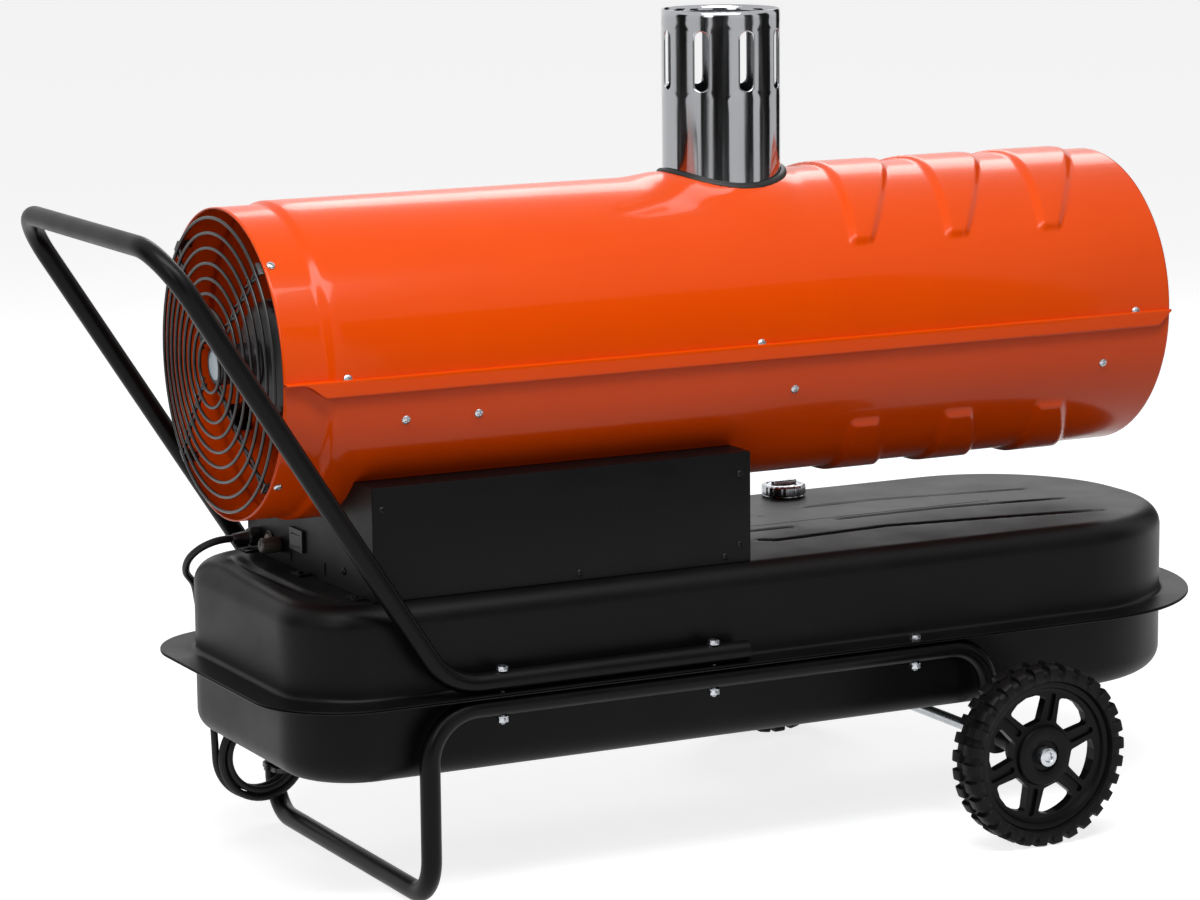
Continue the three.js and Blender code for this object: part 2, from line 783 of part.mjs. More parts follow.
/** The parts on the floor of the control box. */
function addBoxParts(group) {
  const floor = placed(group, 0, 0, boxBottom + boxSheet + touch);
  const terminal = (share) =>
    bar("z", terminalRadius, transformerHeight - 5, transformerHeight + terminalHeight, 12)
      .translate(transformerX + share * transformerLength, transformerY, 0);
  const footWidth = transformerWidth - 14;
  const transformer = join(
    upright(transformerX, transformerY, transformerLength, transformerWidth, 0, transformerHeight),
    upright(transformerX, transformerY, transformerLength + 2 * footMargin, footWidth, 0, footSheet),
    terminal(-0.2),
    terminal(0.2),
  );
  piece(floor, "ignition_transformer", transformer, paints.plastic);

  const postX = boardLength / 2 - footMargin;
  const postY = boardWidth / 2 - footMargin;
  const posts = [[-1, -1], [-1, 1], [1, -1], [1, 1]].map(([a, b]) =>
    bar("z", boardPost, 0, boardPostHeight, 8).translate(boardX + a * postX, boardY + b * postY, 0),
  );
  const boardFoot = boardPostHeight - 0.5;
  const relayFoot = boardFoot + boardSheet / 2;
  const smallWidth = relayWidth * 0.8;
  const smallTop = relayFoot + relayHeight * 0.8;
  const board = join(
    upright(boardX, boardY, boardLength, boardWidth, boardFoot, boardFoot + boardSheet),
    ...posts,
    upright(boardX - 15, boardY - 12, relayLength, relayWidth, relayFoot, relayFoot + relayHeight),
    upright(boardX + 30, boardY, relayWidth, smallWidth, relayFoot, smallTop),
  );
  piece(floor, "control_board", board, paints.board);

  const pumpEnd = fuelLineX + pumpLength / 2;
  const pump = join(
    upright(fuelLineX, 0, pumpLength, pumpWidth, 0, pumpHeight),
    bar("x", pumpMotorRadius, pumpEnd - 1, pumpEnd + pumpMotorLength, 20).translate(0, 0, pumpHeight / 2),
    upright(fuelLineX, 0, pumpLength + 2 * footMargin, pumpWidth - 2 * footMargin, 0, footSheet),
  );
  piece(floor, "fuel_pump", pump, paints.zinc);
  const filter = join(
    bar("z", filterRadius, 0, filterHeight, 20).translate(filterX, filterY, 0),
    upright(filterX, filterY, 2 * filterRadius + 10, 2 * filterRadius + 14, 0, footSheet + 1),
  );
  piece(floor, "fuel_filter", filter, paints.brass);
}

/** The lines across a half shell on which its shape is given, from the inlet to the outlet.
 * Each has its place at the middle of the shell and at the side, its rib height and its neck step. */
function shellLines(start, pitch, width, slant, endWidth) {
  const neckEnd = inletX + neckLength;
  const straight = (x, step) => ({ middle: x, side: x, height: 0, step });
  const ribs = Array.from({ length: ribCount }, (_, i) => {
    const left = start + i * pitch;
    const endLeft = left - slant;
    const line = (middle, side, height) => ({ middle, side, height, step: 0 });
    return [
      line(left, endLeft, 0),
      line(left + ribFlank, endLeft + ribFlank, ribHeight),
      line(left + width - ribFlank, endLeft + endWidth - ribFlank, ribHeight),
      line(left + width, endLeft + endWidth, 0),
    ];
  });
  return [
    straight(inletX, neckStep),
    straight(neckEnd, neckStep),
    straight(neckEnd + joggleLength, 0),
    ...ribs.flat(),
    straight(casingEnd, 0),
  ];
}

/** How far a rib line has moved from its middle place to its side place, at an angle from the middle. */
function slantShare(degrees) {
  const apex = 8;
  const bow = (angle) => Math.hypot(angle, apex) - apex;
  return bow(Math.min(Math.abs(degrees), ribReach)) / bow(ribReach);
}

/** Half a casing from its middle out to each side, as a thin closed loop on one line.
 * rise is 1 for the upper shell and -1 for the lower; feet are the seam flange's [outer, inner] corners. */
function shellRing(line, rise, feet) {
  const step = 360 / casingSides;
  const count = Math.floor(89 / step);
  const arc = Array.from({ length: 2 * count + 1 }, (_, i) => (i - count) * step);
  const radius = casingRadius - line.step;
  const point = (degrees, r) => {
    const angle = THREE.MathUtils.degToRad(degrees);
    const x = THREE.MathUtils.lerp(line.middle, line.side, slantShare(degrees));
    return new THREE.Vector3(x, r * Math.sin(angle), rise * r * Math.cos(angle));
  };
  const raised = (degrees) => radius + (Math.abs(degrees) < ribReach ? line.height : 0);
  const foot = (side, layer) =>
    feet(radius).map((corners) => new THREE.Vector3(line.side, side * corners[layer][0], corners[layer][1]));
  return [
    ...foot(-1, 0),
    ...arc.map((degrees) => point(degrees, raised(degrees))),
    ...foot(1, 0).reverse(),
    ...foot(1, 1),
    ...arc.map((degrees) => point(degrees, raised(degrees) - casingSheet)).reverse(),
    ...foot(-1, 1).reverse(),
  ];
}

/** The two half shells of the casing, about the casing's axis. */
function addShells(group) {
  const lip = casingRadius + seamReach;
  const lipInside = lip - casingSheet;
  const upperFeet = (radius) => [
    [[lip, -lipHeight], [lipInside, -lipHeight]],
    [[lip, casingSheet], [lipInside, 0]],
    [[radius, casingSheet], [radius - casingSheet, 0]],
  ];
  const tip = lipInside - touch;
  const lowerFeet = (radius) => [
    [[tip, -touch - casingSheet], [tip, -touch]],
    [[radius, -touch - casingSheet], [radius - casingSheet, -touch]],
  ];
  const onLid = (point) => new THREE.Vector2(point.y, point.z);
  const upperLines = shellLines(upperRibStart, upperRibPitch, upperRibWidth, upperRibSlant, upperRibEndWidth);
  const lowerLines = shellLines(lowerRibStart, lowerRibPitch, lowerRibWidth, lowerRibSlant, lowerRibEndWidth);
  const upper = loft(upperLines.map((line) => shellRing(line, 1, upperFeet)).reverse(), onLid);
  const lower = loft(lowerLines.map((line) => shellRing(line, -1, lowerFeet)), onLid);

  const holeRadius = flueRadius + gasketWidth + 2 * touch;
  const flueHole = bar("z", holeRadius, 0, 2 * casingRadius, flueSides).translate(flueX, 0, 0);
  const lipNotches = [-1, 1].map((side) => {
    const y = [side * (lipInside - touch), side * (lip + 1)].sort((a, b) => a - b);
    return block(inletX - 1, inletX + neckLength - joggleLength, ...y, -lipHeight - 1, -touch);
  });
  const corner = [
    new THREE.Vector2(casingEnd - lipHeight, -lipHeight - 1),
    new THREE.Vector2(casingEnd + 2, -lipHeight - 1),
    new THREE.Vector2(casingEnd + 2, 1),
  ];
  const cornerCut = plate(corner, -lip - 1, lip + 1).rotateX(quarter);
  piece(group, "upper_shell", cut(upper, flueHole, ...lipNotches, cornerCut), paints.orange);
  const fuelHole = bar("z", 5, -2 * casingRadius, 0, 12).translate(fuelLineX, 0, 0);
  piece(group, "lower_shell", cut(lower, fuelHole), paints.orange);
}

/** The flue pipe with its ring of upright slots, and the gasket where it leaves the casing. */
function addFlue(group) {
  const flue = placed(group, flueX, 0, 0);
  const top = casingRadius + flueRise;
  const pipe = sleeve("z", flueRadius - flueSheet, flueRadius, drumRadius + touch, top, flueSides);
  const slots = Array.from({ length: flueSlotCount }, (_, i) => {
    const slot = plate(slotOutline(flueSlotWidth, flueSlotHeight), flueRadius - 10, flueRadius + 10);
    const height = top - flueSlotInset - flueSlotHeight / 2;
    const turn = THREE.MathUtils.degToRad(-3 + (i * 360) / flueSlotCount);
    return slot.rotateX(quarter).rotateZ(turn).translate(0, 0, height);
  });
  piece(flue, "flue_pipe", cut(pipe, ...slots), paints.stainless);
  const inner = flueRadius + touch;
  const ring = sleeve("z", inner, inner + gasketWidth, 0, 2 * casingRadius, flueSides);
  const skin = sleeve("x", casingRadius - casingSheet, casingRadius + gasketProud, -100, 100, casingSides);
  piece(flue, "flue_gasket", common(ring, skin), paints.rubber);
}

/** The heat exchanger drum with the burner's chamber and blast tube, and what holds the drum up. */
function addBurner(group) {
  const inside = drumRadius - drumSheet;
  const stub = flueRadius - flueSheet - touch;
  const bore = blastTubeRadius + touch;
  const drum = join(
    cut(
      bar("x", drumRadius, drumStart, drumEnd, drumSides),
      bar("x", inside, drumStart + drumSheet, drumEnd - drumSheet, drumSides),
      bar("x", bore, drumStart - 5, drumStart + 5),
    ),
    bar("z", stub, inside - 14, drumRadius + 24, flueSides).translate(flueX, 0, 0),
  );
  const outlet = bar("z", stub - flueSheet, drumRadius / 2, drumRadius + 30, flueSides);
  piece(group, "heat_exchanger", cut(drum, outlet.translate(flueX, 0, 0)), paints.stainless);
  const chamberStart = drumStart + drumSheet + touch;
  const chamberEnd = chamberStart + chamberLength;
  const chamber = sleeve("x", chamberRadius - drumSheet, chamberRadius, chamberStart, chamberEnd);
  const footHalf = 8;
  const footSeat = footHalf * Math.tan(Math.PI / drumSides) + touch - inside;
  const footEnd = chamberEnd - 40;
  const foot = block(chamberStart + 40, footEnd, -footHalf, footHalf, footSeat, 1 - chamberRadius);
  piece(group, "combustion_chamber", join(chamber, foot), paints.stainless);

  const collar = drumStart - touch;
  const tube = sleeve("x", blastTubeRadius - 2, blastTubeRadius, blastTubeStart, drumStart + 20);
  const flange = sleeve("x", blastTubeRadius - 2, blastTubeRadius + 16, collar - 3, collar);
  piece(group, "blast_tube", join(tube, flange), paints.black);
  const headRadius = blastTubeRadius - 2 - touch;
  const slots = Array.from({ length: 4 }, (_, i) => {
    const slot = block(drumStart - 10, drumStart - 4, -3, 3, nozzleRadius + 8, headRadius - 8);
    return slot.rotateX((i + 0.5) * quarter);
  });
  const rim = sleeve("x", headRadius - 1.5, headRadius, drumStart - 22, drumStart - 6);
  const disc = sleeve("x", nozzleRadius + touch, headRadius, drumStart - 8, drumStart - 6);
  piece(group, "burner_head", join(rim, cut(disc, ...slots)), paints.stainless);
  const nozzle = turned("x", [
    [0, drumStart - 34],
    [nozzleRadius + 2, drumStart - 34],
    [nozzleRadius + 2, drumStart - 18],
    [nozzleRadius, drumStart - 18],
    [nozzleRadius, drumStart - 5],
    [2, drumStart - 2],
    [0, drumStart - 2],
  ], 12);
  piece(group, "nozzle", nozzle, paints.brass);
  const rod = blastTubeRadius / 2;
  const electrode = join(
    bar("x", 4, drumStart - 70, drumStart - 12, 12),
    bar("x", 1.2, drumStart - 13, drumStart - 9, 8),
    block(drumStart - 66, drumStart - 50, -4, 4, 2, blastTubeRadius - 2 - rod - 1),
  );
  piece(placed(group, 0, 0, rod), "ignition_electrode", electrode, paints.ceramic);

  const room = casingRadius - casingSheet - touch;
  [["front_hanger", drumStart + 30], ["rear_hanger", drumEnd - 60]].forEach(([name, x]) => {
    const saddle = sleeve("x", drumRadius + touch, drumRadius + touch + 2.5, x, x + hangerWidth, drumSides);
    const shoe = sleeve("x", room - 2.5, room, x, x + hangerWidth, casingSides);
    const middle = x + hangerWidth / 2;
    const web = sleeve("x", drumRadius + touch + 1, room - 1, middle, middle + 2.5, drumSides);
    const below = block(x - 1, x + hangerWidth + 1, -room, room, -room - 5, -room / 2);
    piece(group, name, common(join(saddle, shoe, web), below), paints.stainless);
  });
  const mouth = turned("x", [
    [room, casingEnd - mouthDepth],
    [room, casingEnd],
    [room - mouthLip, casingEnd],
    [room - mouthLip, casingEnd - casingSheet],
    [room - casingSheet, casingEnd - casingSheet],
    [room - casingSheet, casingEnd - mouthDepth],
    [room, casingEnd - mouthDepth],
  ], casingSides);
  piece(group, "outlet_ring", mouth, paints.orange);
}

/** The fan motor on its bracket, and the shaft and fan that it turns. */
function addFan(group) {
  const motorEnd = motorStart + motorLength;
  const motor = turned("x", [
    [0, motorStart],
    [motorRadius - 12, motorStart],
    [motorRadius, motorStart + 12],
    [motorRadius, motorEnd - 12],
    [motorRadius - 12, motorEnd],
    [shaftRadius + play, motorEnd],
    [shaftRadius + play, motorEnd - shaftSeat],
    [0, motorEnd - shaftSeat],
  ]);
  piece(group, "fan_motor", motor, paints.grey);
  const seat = motorRadius + touch;
  const room = (casingRadius - casingSheet) * Math.cos(Math.PI / casingSides) - touch;
  const arms = [0, 1, 2].flatMap((i) => {
    const turn = (i * 2 * Math.PI) / 3;
    const arm = block(-bracketHalf, bracketHalf, -1.5, 1.5, seat + 1, room);
    const foot = block(-bracketHalf, bracketHalf, -14, 14, room - 3.5, room - 1.5);
    return [arm, foot].map((part) => part.rotateX(turn).translate(bracketX, 0, 0));
  });
  const band = sleeve("x", seat, seat + 3, bracketX - bracketHalf - 2, bracketX + bracketHalf + 2);
  piece(group, "motor_bracket", join(band, ...arms), paints.black);

  const fan = placed(group, fanX, 0, 0);
  const back = fanHubLength / 2;
  const shaft = bar("x", shaftRadius, motorEnd - shaftSeat + touch - fanX, back + 5);
  piece(fan, "fan_shaft", shaft, paints.zinc);
  const hub = sleeve("x", shaftRadius + touch, fanHubRadius, -back, back);
  const bladeRoot = (fanHubRadius - 4) / fanRadius;
  const outline = [
    [-0.11, bladeRoot],
    [0.11, bladeRoot],
    [0.24, 0.7],
    [0.2, 0.97],
    [0, 0.99],
    [-0.18, 0.9],
    [-0.21, 0.7],
  ].map(([u, v]) => new THREE.Vector2(u * fanRadius, v * fanRadius));
  const blades = Array.from({ length: fanBladeCount }, (_, i) => {
    const blade = plate(outline, -1, 1).rotateX(quarter).rotateZ(quarter);
    return blade.rotateZ(THREE.MathUtils.degToRad(fanPitch)).rotateX((i * 2 * Math.PI) / fanBladeCount);
  });
  piece(fan, "fan_blade", join(hub, ...blades), paints.black);
}

/** The wire grille over the inlet: domed rings welded to four bent wires that hook into the neck. */
function addGrille(group) {
  const domeX = (radius) => -5 - grilleDome * (1 - (radius / grilleOuterRadius) ** 2);
  const rings = Array.from({ length: grilleRings }, (_, i) => {
    const radius = THREE.MathUtils.lerp(grilleInnerRadius, grilleOuterRadius, i / (grilleRings - 1));
    const segments = 8 + 4 * Math.round(radius / 36);
    const hoop = new THREE.TorusGeometry(radius, grilleWire, 3, segments);
    return hoop.rotateY(quarter).translate(domeX(radius), 0, 0);
  });
  const hook = casingRadius - neckStep - casingSheet - 2 * touch - grilleWire;
  const middle = 0.6 * grilleOuterRadius;
  const inner = grilleInnerRadius - grilleWire;
  const wire = bentPath(
    [[grilleHook, 0, hook], [domeX(hook), 0, hook], [domeX(middle), 0, middle], [domeX(inner), 0, inner]],
    [4, 0.4 * grilleOuterRadius],
    2,
  );
  const wires = [1, 3, 5, 7].map((eighth) => {
    const radial = follow(wire, wire.steps, grilleWire, 4);
    return radial.rotateX((eighth * Math.PI) / 4);
  });
  piece(placed(group, inletX, 0, 0), "inlet_grille", join(...rings, ...wires), paints.black);
}

// The cord's route: out of the gland, over the tank's corner, down behind it to the coil, and from the
// coil round the far leg of the frame to the plug. Y is from the gland's middle first, then from the leg's.
const fromGland = [
  [-412, 0, 313],
  [-420, 0, 313],
  [-431.8, 2.3, 310.7],
  [-443.7, 8.9, 303.9],
  [-450.8, 20.3, 292.2],
];
const downTheTank = [
  [-448.3, -29.8, 276.7],
  [-434.4, -15, 259.9],
  [-424.7, 1, 238.4],
  [-416.9, 13.5, 218.5],
  [-413.4, 16.7, 203.8],
  [-412.3, 14.8, 187.6],
  [-414.5, 5, 163.8],
  [-416.8, -6.9, 137.1],
  [-418.1, -16.6, 113.3],
  [-418.6, -20.6, 93.7],
  [-418.43, -20.8, 85.75],
];
const fromCoil = [
  [-325.95, -29, 60.68],
  [-323.4, -29, 65],
  [-318.8, -26.7, 72.8],
  [-314.7, -20.7, 81],
  [-312.7, -11.1, 87.9],
  [-314.3, 1, 93.1],
  [-322, 15.9, 101.1],
  [-327.7, 24.2, 112.7],
  [-329.8, 27, 125],
  [-329.8, 27, 130],
];
const beside = (middle) => ([x, y, z]) => [x, middle + y, z];
const supplyRoute = [...fromGland.map(beside(glandY)), ...downTheTank.map(beside(tubeY))];
const tailRoute = fromCoil.map(beside(tubeY));

/** The coil's centre line, from its far layer's outer turn in to the middle and out again in the near
 * layer: an even spiral that changes layers in the half turn where it reverses. */
function coilPath() {
  const fromMiddle = (turn) => turn - coilTurns / 2;
  const innerRadius = coilMiddleRadius - (coilSpacing * coilTurns) / 4;
  const point = (turn) => {
    const angle = Math.PI + turn * 2 * Math.PI;
    const radius = innerRadius + coilSpacing * Math.abs(fromMiddle(turn));
    const climb = THREE.MathUtils.clamp(2 * fromMiddle(turn) + 0.5, 0, 1);
    const far = coilSpacing * (0.5 + 0.5 * Math.cos(Math.PI * climb));
    const across = new THREE.Vector3(radius * Math.cos(angle), far, radius * Math.sin(angle));
    return across.add(new THREE.Vector3(coilX, tubeY - coilInset, coilHeight));
  };
  const small = 1e-4;
  const knotAt = (turn) => {
    const before = point(Math.max(turn - small, 0));
    const tangent = point(Math.min(turn + small, coilTurns)).sub(before).normalize();
    return { point: point(turn), tangent };
  };
  const count = Math.round(24 * coilTurns);
  const knots = Array.from({ length: count + 1 }, (_, i) => knotAt((coilTurns * i) / count));
  const straight = (knot, distance) => ({
    point: knot.point.clone().addScaledVector(knot.tangent, distance),
    tangent: knot.tangent.clone(),
  });
  const lead = straight(knots[0], -2 * cordRadius);
  const exit = straight(knots.at(-1), 2 * cordRadius);
  return new KnotPath([lead, ...knots, exit]);
}

/** The least gap between turns of a coil whose points are further than half a turn apart. */
function leastGap(knots) {
  const gaps = knots.flatMap((knot, i) =>
    knots.slice(i + 12).map((other) => knot.point.distanceTo(other.point) - 2 * cordRadius),
  );
  return Math.min(...gaps);
}

/** A band round a rectangle with rounded corners, about a height. */
function strap(x0, x1, y0, y1, height) {
  const thickness = 1.6;
  const outline = (grow, corner) => {
    const shape = new THREE.Shape();
    shape.absarc(x1 + grow - corner, y1 + grow - corner, corner, 0, quarter);
    shape.absarc(x0 - grow + corner, y1 + grow - corner, corner, quarter, 2 * quarter);
    shape.absarc(x0 - grow + corner, y0 - grow + corner, corner, 2 * quarter, 3 * quarter);
    shape.absarc(x1 + grow - corner, y0 - grow + corner, corner, 3 * quarter, 4 * quarter);
    return shape.getPoints(3);
  };
  const corner = tubeRadius - 1;
  return plate(outline(thickness, corner + thickness), height - 4, height + 4, [outline(0, corner)]);
}

/** The power cord, coiled and tied to the far leg of the frame, with its plug. */
function addCord(group) {
  const route = (points) => {
    const knots = points.map((point) => new THREE.Vector3(...point));
    return new THREE.CatmullRomCurve3(knots, false, "centripetal");
  };
  piece(group, "power_cord", follow(route(supplyRoute), 26, cordRadius, 8), paints.rubber);
  const coil = coilPath();
  piece(group, "cord_coil", follow(coil, coil.steps, cordRadius, 6), paints.rubber);
  console.log(`least gap between turns of the coil: ${leastGap(coil.knots).toFixed(2)} mm`);
  piece(group, "cord_tail", follow(route(tailRoute), 12, cordRadius, 8), paints.rubber);

  const [plugX, plugY, tailTop] = tailRoute.at(-1);
  const plug = join(
    turned("z", [
      [0, touch],
      [cordRadius + 0.8, touch],
      [7, 20],
      [plugRadius - 2, 21],
      [plugRadius, 26],
      [plugRadius, 48],
      [plugRadius - 3, 52],
      [0, 52],
    ]),
    bar("z", 2.4, 51, 70, 8).translate(9.5, 0, 0),
    bar("z", 2.4, 51, 70, 8).translate(-9.5, 0, 0),
  );
  piece(placed(group, plugX, plugY, tailTop), "plug", plug, paints.rubber);

  const legLeft = footX - tubeRadius - 0.5;
  const legFar = tubeY + tubeRadius + 0.5;
  const bundle = tubeY - coilInset - cordRadius - 0.6;
  const coilTie = strap(legLeft, coilTieX, bundle, legFar, coilHeight - coilTieDrop);
  piece(group, "cord_tie", coilTie, paints.plastic);
  const plugGrip = tailTop + 34;
  const plugEdge = plugRadius + 0.5;
  const railSide = tubeY - tubeRadius - 0.5;
  const plugTie = strap(legLeft + 3.3, plugX + plugEdge, railSide, plugY + plugEdge, plugGrip);
  piece(group, "plug_tie", plugTie, paints.plastic);
}

/** The fuel line from the pump up through the casing's wall to the nozzle. */
function addFuelLine(group) {
  const pumpOutlet = boxBottom + boxSheet + 2 * touch + 30;
  const path = bentPath(
    [[fuelLineX, 0, pumpOutlet], [fuelLineX, 0, casingHeight], [drumStart - 34 - touch, 0, casingHeight]],
    [18],
  );
  piece(group, "fuel_line", follow(path, path.steps, 3, 8), paints.brass);
}

addTank(heater);
addFrame(heater);
addWheels(heater);
addBox(heater);
addBoxParts(heater);
const casing = placed(heater, 0, 0, casingHeight);
addShells(casing);
addFlue(casing);
addBurner(casing);
addFan(casing);
addGrille(casing);
addFuelLine(heater);
addCord(heater);

export default heater;
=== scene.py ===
"""An indirect oil-fired forced air heater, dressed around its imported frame. Lengths in the sections below are
in millimetres of the row frame, and each mesh is turned to metres as it is made."""
from math import cos, hypot, pi, radians, sin

import bmesh
import bpy
import numpy as np
from mathutils import Matrix, Vector


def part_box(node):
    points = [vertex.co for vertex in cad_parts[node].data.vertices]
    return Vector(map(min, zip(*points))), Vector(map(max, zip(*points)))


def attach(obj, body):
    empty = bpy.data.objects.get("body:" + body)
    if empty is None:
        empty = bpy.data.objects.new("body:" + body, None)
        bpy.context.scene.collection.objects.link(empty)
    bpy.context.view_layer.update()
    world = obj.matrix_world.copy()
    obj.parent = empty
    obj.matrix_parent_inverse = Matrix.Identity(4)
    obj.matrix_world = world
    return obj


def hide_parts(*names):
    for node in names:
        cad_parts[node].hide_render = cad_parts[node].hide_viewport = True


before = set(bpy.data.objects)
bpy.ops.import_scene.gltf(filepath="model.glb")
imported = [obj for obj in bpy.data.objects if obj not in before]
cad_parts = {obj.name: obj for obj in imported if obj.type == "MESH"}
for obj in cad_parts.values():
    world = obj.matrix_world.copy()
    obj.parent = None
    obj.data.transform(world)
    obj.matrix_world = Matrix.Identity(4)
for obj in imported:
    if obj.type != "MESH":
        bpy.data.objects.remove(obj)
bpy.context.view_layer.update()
MM = 0.001

# ------------------------------------------------------------
# Camera. It stands low in front of the inlet side and looks along the casing, as for a catalogue picture;
# a long lens keeps the casing's edges nearly parallel.
camera_data = bpy.data.cameras.new("camera")
camera_data.sensor_width = 36.0
camera_data.lens = 121.34
camera_data.clip_end = 60.0
camera = bpy.data.objects.new("camera", camera_data)
bpy.context.scene.collection.objects.link(camera)
camera_yaw, camera_pitch, camera_roll = -0.472, 0.173, -0.010
ahead = Vector((-sin(camera_yaw) * cos(camera_pitch), cos(camera_yaw) * cos(camera_pitch),
                -sin(camera_pitch)))
level_right = ahead.cross(Vector((0, 0, 1))).normalized()
level_up = level_right.cross(ahead)
right = level_right * cos(camera_roll) + level_up * sin(camera_roll)
up = level_up * cos(camera_roll) - level_right * sin(camera_roll)
camera.matrix_world = Matrix.Translation((-1.894662, -3.591025, 1.096388)) @ Matrix(
    (right, up, -ahead)).transposed().to_4x4()
bpy.context.scene.camera = camera
bpy.context.scene.view_settings.view_transform = "Standard"


# ------------------------------------------------------------
# Floor. A pale seamless studio floor: matt white paint, which keeps the heater's soft shadow.
def linear(code):
    """An sRGB hex colour as linear RGBA: c / 12.92 when dark, else ((c + 0.055) / 1.055) to the power 2.4."""
    c = np.array([int(code[i:i + 2], 16) / 255 for i in (1, 3, 5)])
    return (*np.where(c <= 0.04045, c / 12.92, ((c + 0.055) / 1.055) ** 2.4).tolist(), 1.0)


def add(tree, kind, settings=None, links=None):
    """Adds a shader node. settings are sockets by number or name, or attributes; links are (node, output)."""
    made = tree.nodes.new("ShaderNode" + kind)
    for key, value in (settings or {}).items():
        if isinstance(key, int) or key in made.inputs:
            made.inputs[key].default_value = value
        else:
            setattr(made, key, value)
    for key, (source, output) in (links or {}).items():
        tree.links.new(source.outputs[output], made.inputs[key])
    return made


def stage_plane(name, corners, material):
    """A flat stage sheet through four corners, in metres."""
    mesh = bpy.data.meshes.new(name)
    mesh.from_pydata(corners, [], [(0, 1, 2, 3)])
    mesh.materials.append(material)
    sheet = bpy.data.objects.new(name, mesh)
    bpy.context.scene.collection.objects.link(sheet)
    return sheet


white_paint = bpy.data.materials.new("studio_floor_matt_white_paint")
white_paint.use_nodes = True
tree = white_paint.node_tree
tree.nodes.clear()
ray = add(tree, "LightPath")
seen = add(tree, "Math", {"operation": "MAXIMUM"}, {0: (ray, "Is Camera Ray"), 1: (ray, "Is Glossy Ray")})
glow = add(tree, "Math", {"operation": "MULTIPLY", 1: 0.8}, {0: (seen, 0)})
lift = add(tree, "Emission", {"Color": (1, 1, 1, 1)}, {"Strength": (glow, 0)})
matt = add(tree, "BsdfDiffuse", {"Color": linear("#C4C4C4")})
both = add(tree, "AddShader", None, {0: (matt, 0), 1: (lift, 0)})
add(tree, "OutputMaterial", None, {"Surface": (both, 0)})
floor_half = 14.0
stage_plane("floor", [(-floor_half, -floor_half, 0), (floor_half, -floor_half, 0),
                      (floor_half, floor_half, 0),
                      (-floor_half, floor_half, 0)], white_paint)

# ------------------------------------------------------------
# Studio. The room is white for the lens and for gloss; softboxes light the heater, and dark cards that
# only gloss can see give polished steel and paint their dark streaks.
world = bpy.data.worlds.new("studio")
bpy.context.scene.world = world
world.use_nodes = True
tree = world.node_tree
tree.nodes.clear()
ray = add(tree, "LightPath")
lens_or_gloss = add(tree, "Math", {"operation": "MAXIMUM"}, {0: (ray, "Is Camera Ray"),
                                                             1: (ray, "Is Glossy Ray")})
clear = add(tree, "Math", {"operation": "MAXIMUM"}, {0: (lens_or_gloss, 0), 1: (ray, "Is Transmission Ray")})
strength = add(tree, "MapRange", {3: 0.16, 4: 1.0}, {0: (clear, 0)})
room = add(tree, "Background", {"Color": (1, 1, 1, 1)}, {"Strength": (strength, 0)})
add(tree, "OutputWorld", None, {"Surface": (room, 0)})

card_black = bpy.data.materials.new("studio_card_black_felt")
card_black.use_nodes = True
card_shader = card_black.node_tree.nodes["Principled BSDF"]
card_shader.inputs["Base Color"].default_value = linear("#0A0A0A")
card_shader.inputs["Roughness"].default_value = 1.0
for number, (azimuth, width, low, high, distance) in enumerate([
        (-118, 2.6, 0.0, 3.4, 4.6), (-62, 1.5, 0.0, 3.2, 4.6), (-24, 2.3, 0.0, 3.4, 4.6),
        (28, 1.9, 0.0, 3.0, 4.8), (158, 2.2, 0.0, 3.2, 4.8), (-150, 1.4, 0.0, 3.0, 4.8)]):
    middle = np.array([cos(radians(azimuth)), sin(radians(azimuth))]) * distance
    side = np.array([-sin(radians(azimuth)), cos(radians(azimuth))]) * width / 2
    a, b = middle - side, middle + side
    card = stage_plane(f"card_{number}", [(a[0], a[1], low), (b[0], b[1], low), (b[0], b[1], high),
                                          (a[0], a[1], high)], card_black)
    card.visible_camera = False
    card.visible_diffuse = False
    card.visible_shadow = False
for name, place, aim, size, power in [
        ("overhead_softbox", (-0.6, -1.3, 3.0), (0, 0, 0.4), (2.8, 0.9), 88),
        ("front_softbox", (-3.0, -2.4, 2.2), (-0.1, 0, 0.35), (1.2, 1.6), 24),
        ("far_softbox", (1.8, 2.6, 2.4), (0, 0, 0.4), (2.0, 1.0), 26)]:
    lamp_data = bpy.data.lights.new(name, "AREA")
    lamp_data.shape = "RECTANGLE"
    lamp_data.size, lamp_data.size_y = size
    lamp_data.energy = power
    lamp = bpy.data.objects.new(name, lamp_data)
    lamp.location = place
    lamp.rotation_euler = (Vector(aim) - Vector(place)).to_track_quat("-Z", "Y").to_euler()
    bpy.context.scene.collection.objects.link(lamp)


# ------------------------------------------------------------
# Power cord. A round black rubber lead of 7.6 mm leaves the gland, runs down behind the tank to a coil of
# three and a half turns tied to the far leg of the frame, and ends in a moulded plug beside the coil.
def finish(name, **sockets):
    """A material of this name with its shader's sockets set, and its tree and shader."""
    material = bpy.data.materials.new(name)
    material.use_nodes = True
    nodes = material.node_tree.nodes
    shader = nodes["Principled BSDF"]
    for key, value in sockets.items():
        shader.inputs[key.replace("_", " ")].default_value = value
    return material, material.node_tree, shader


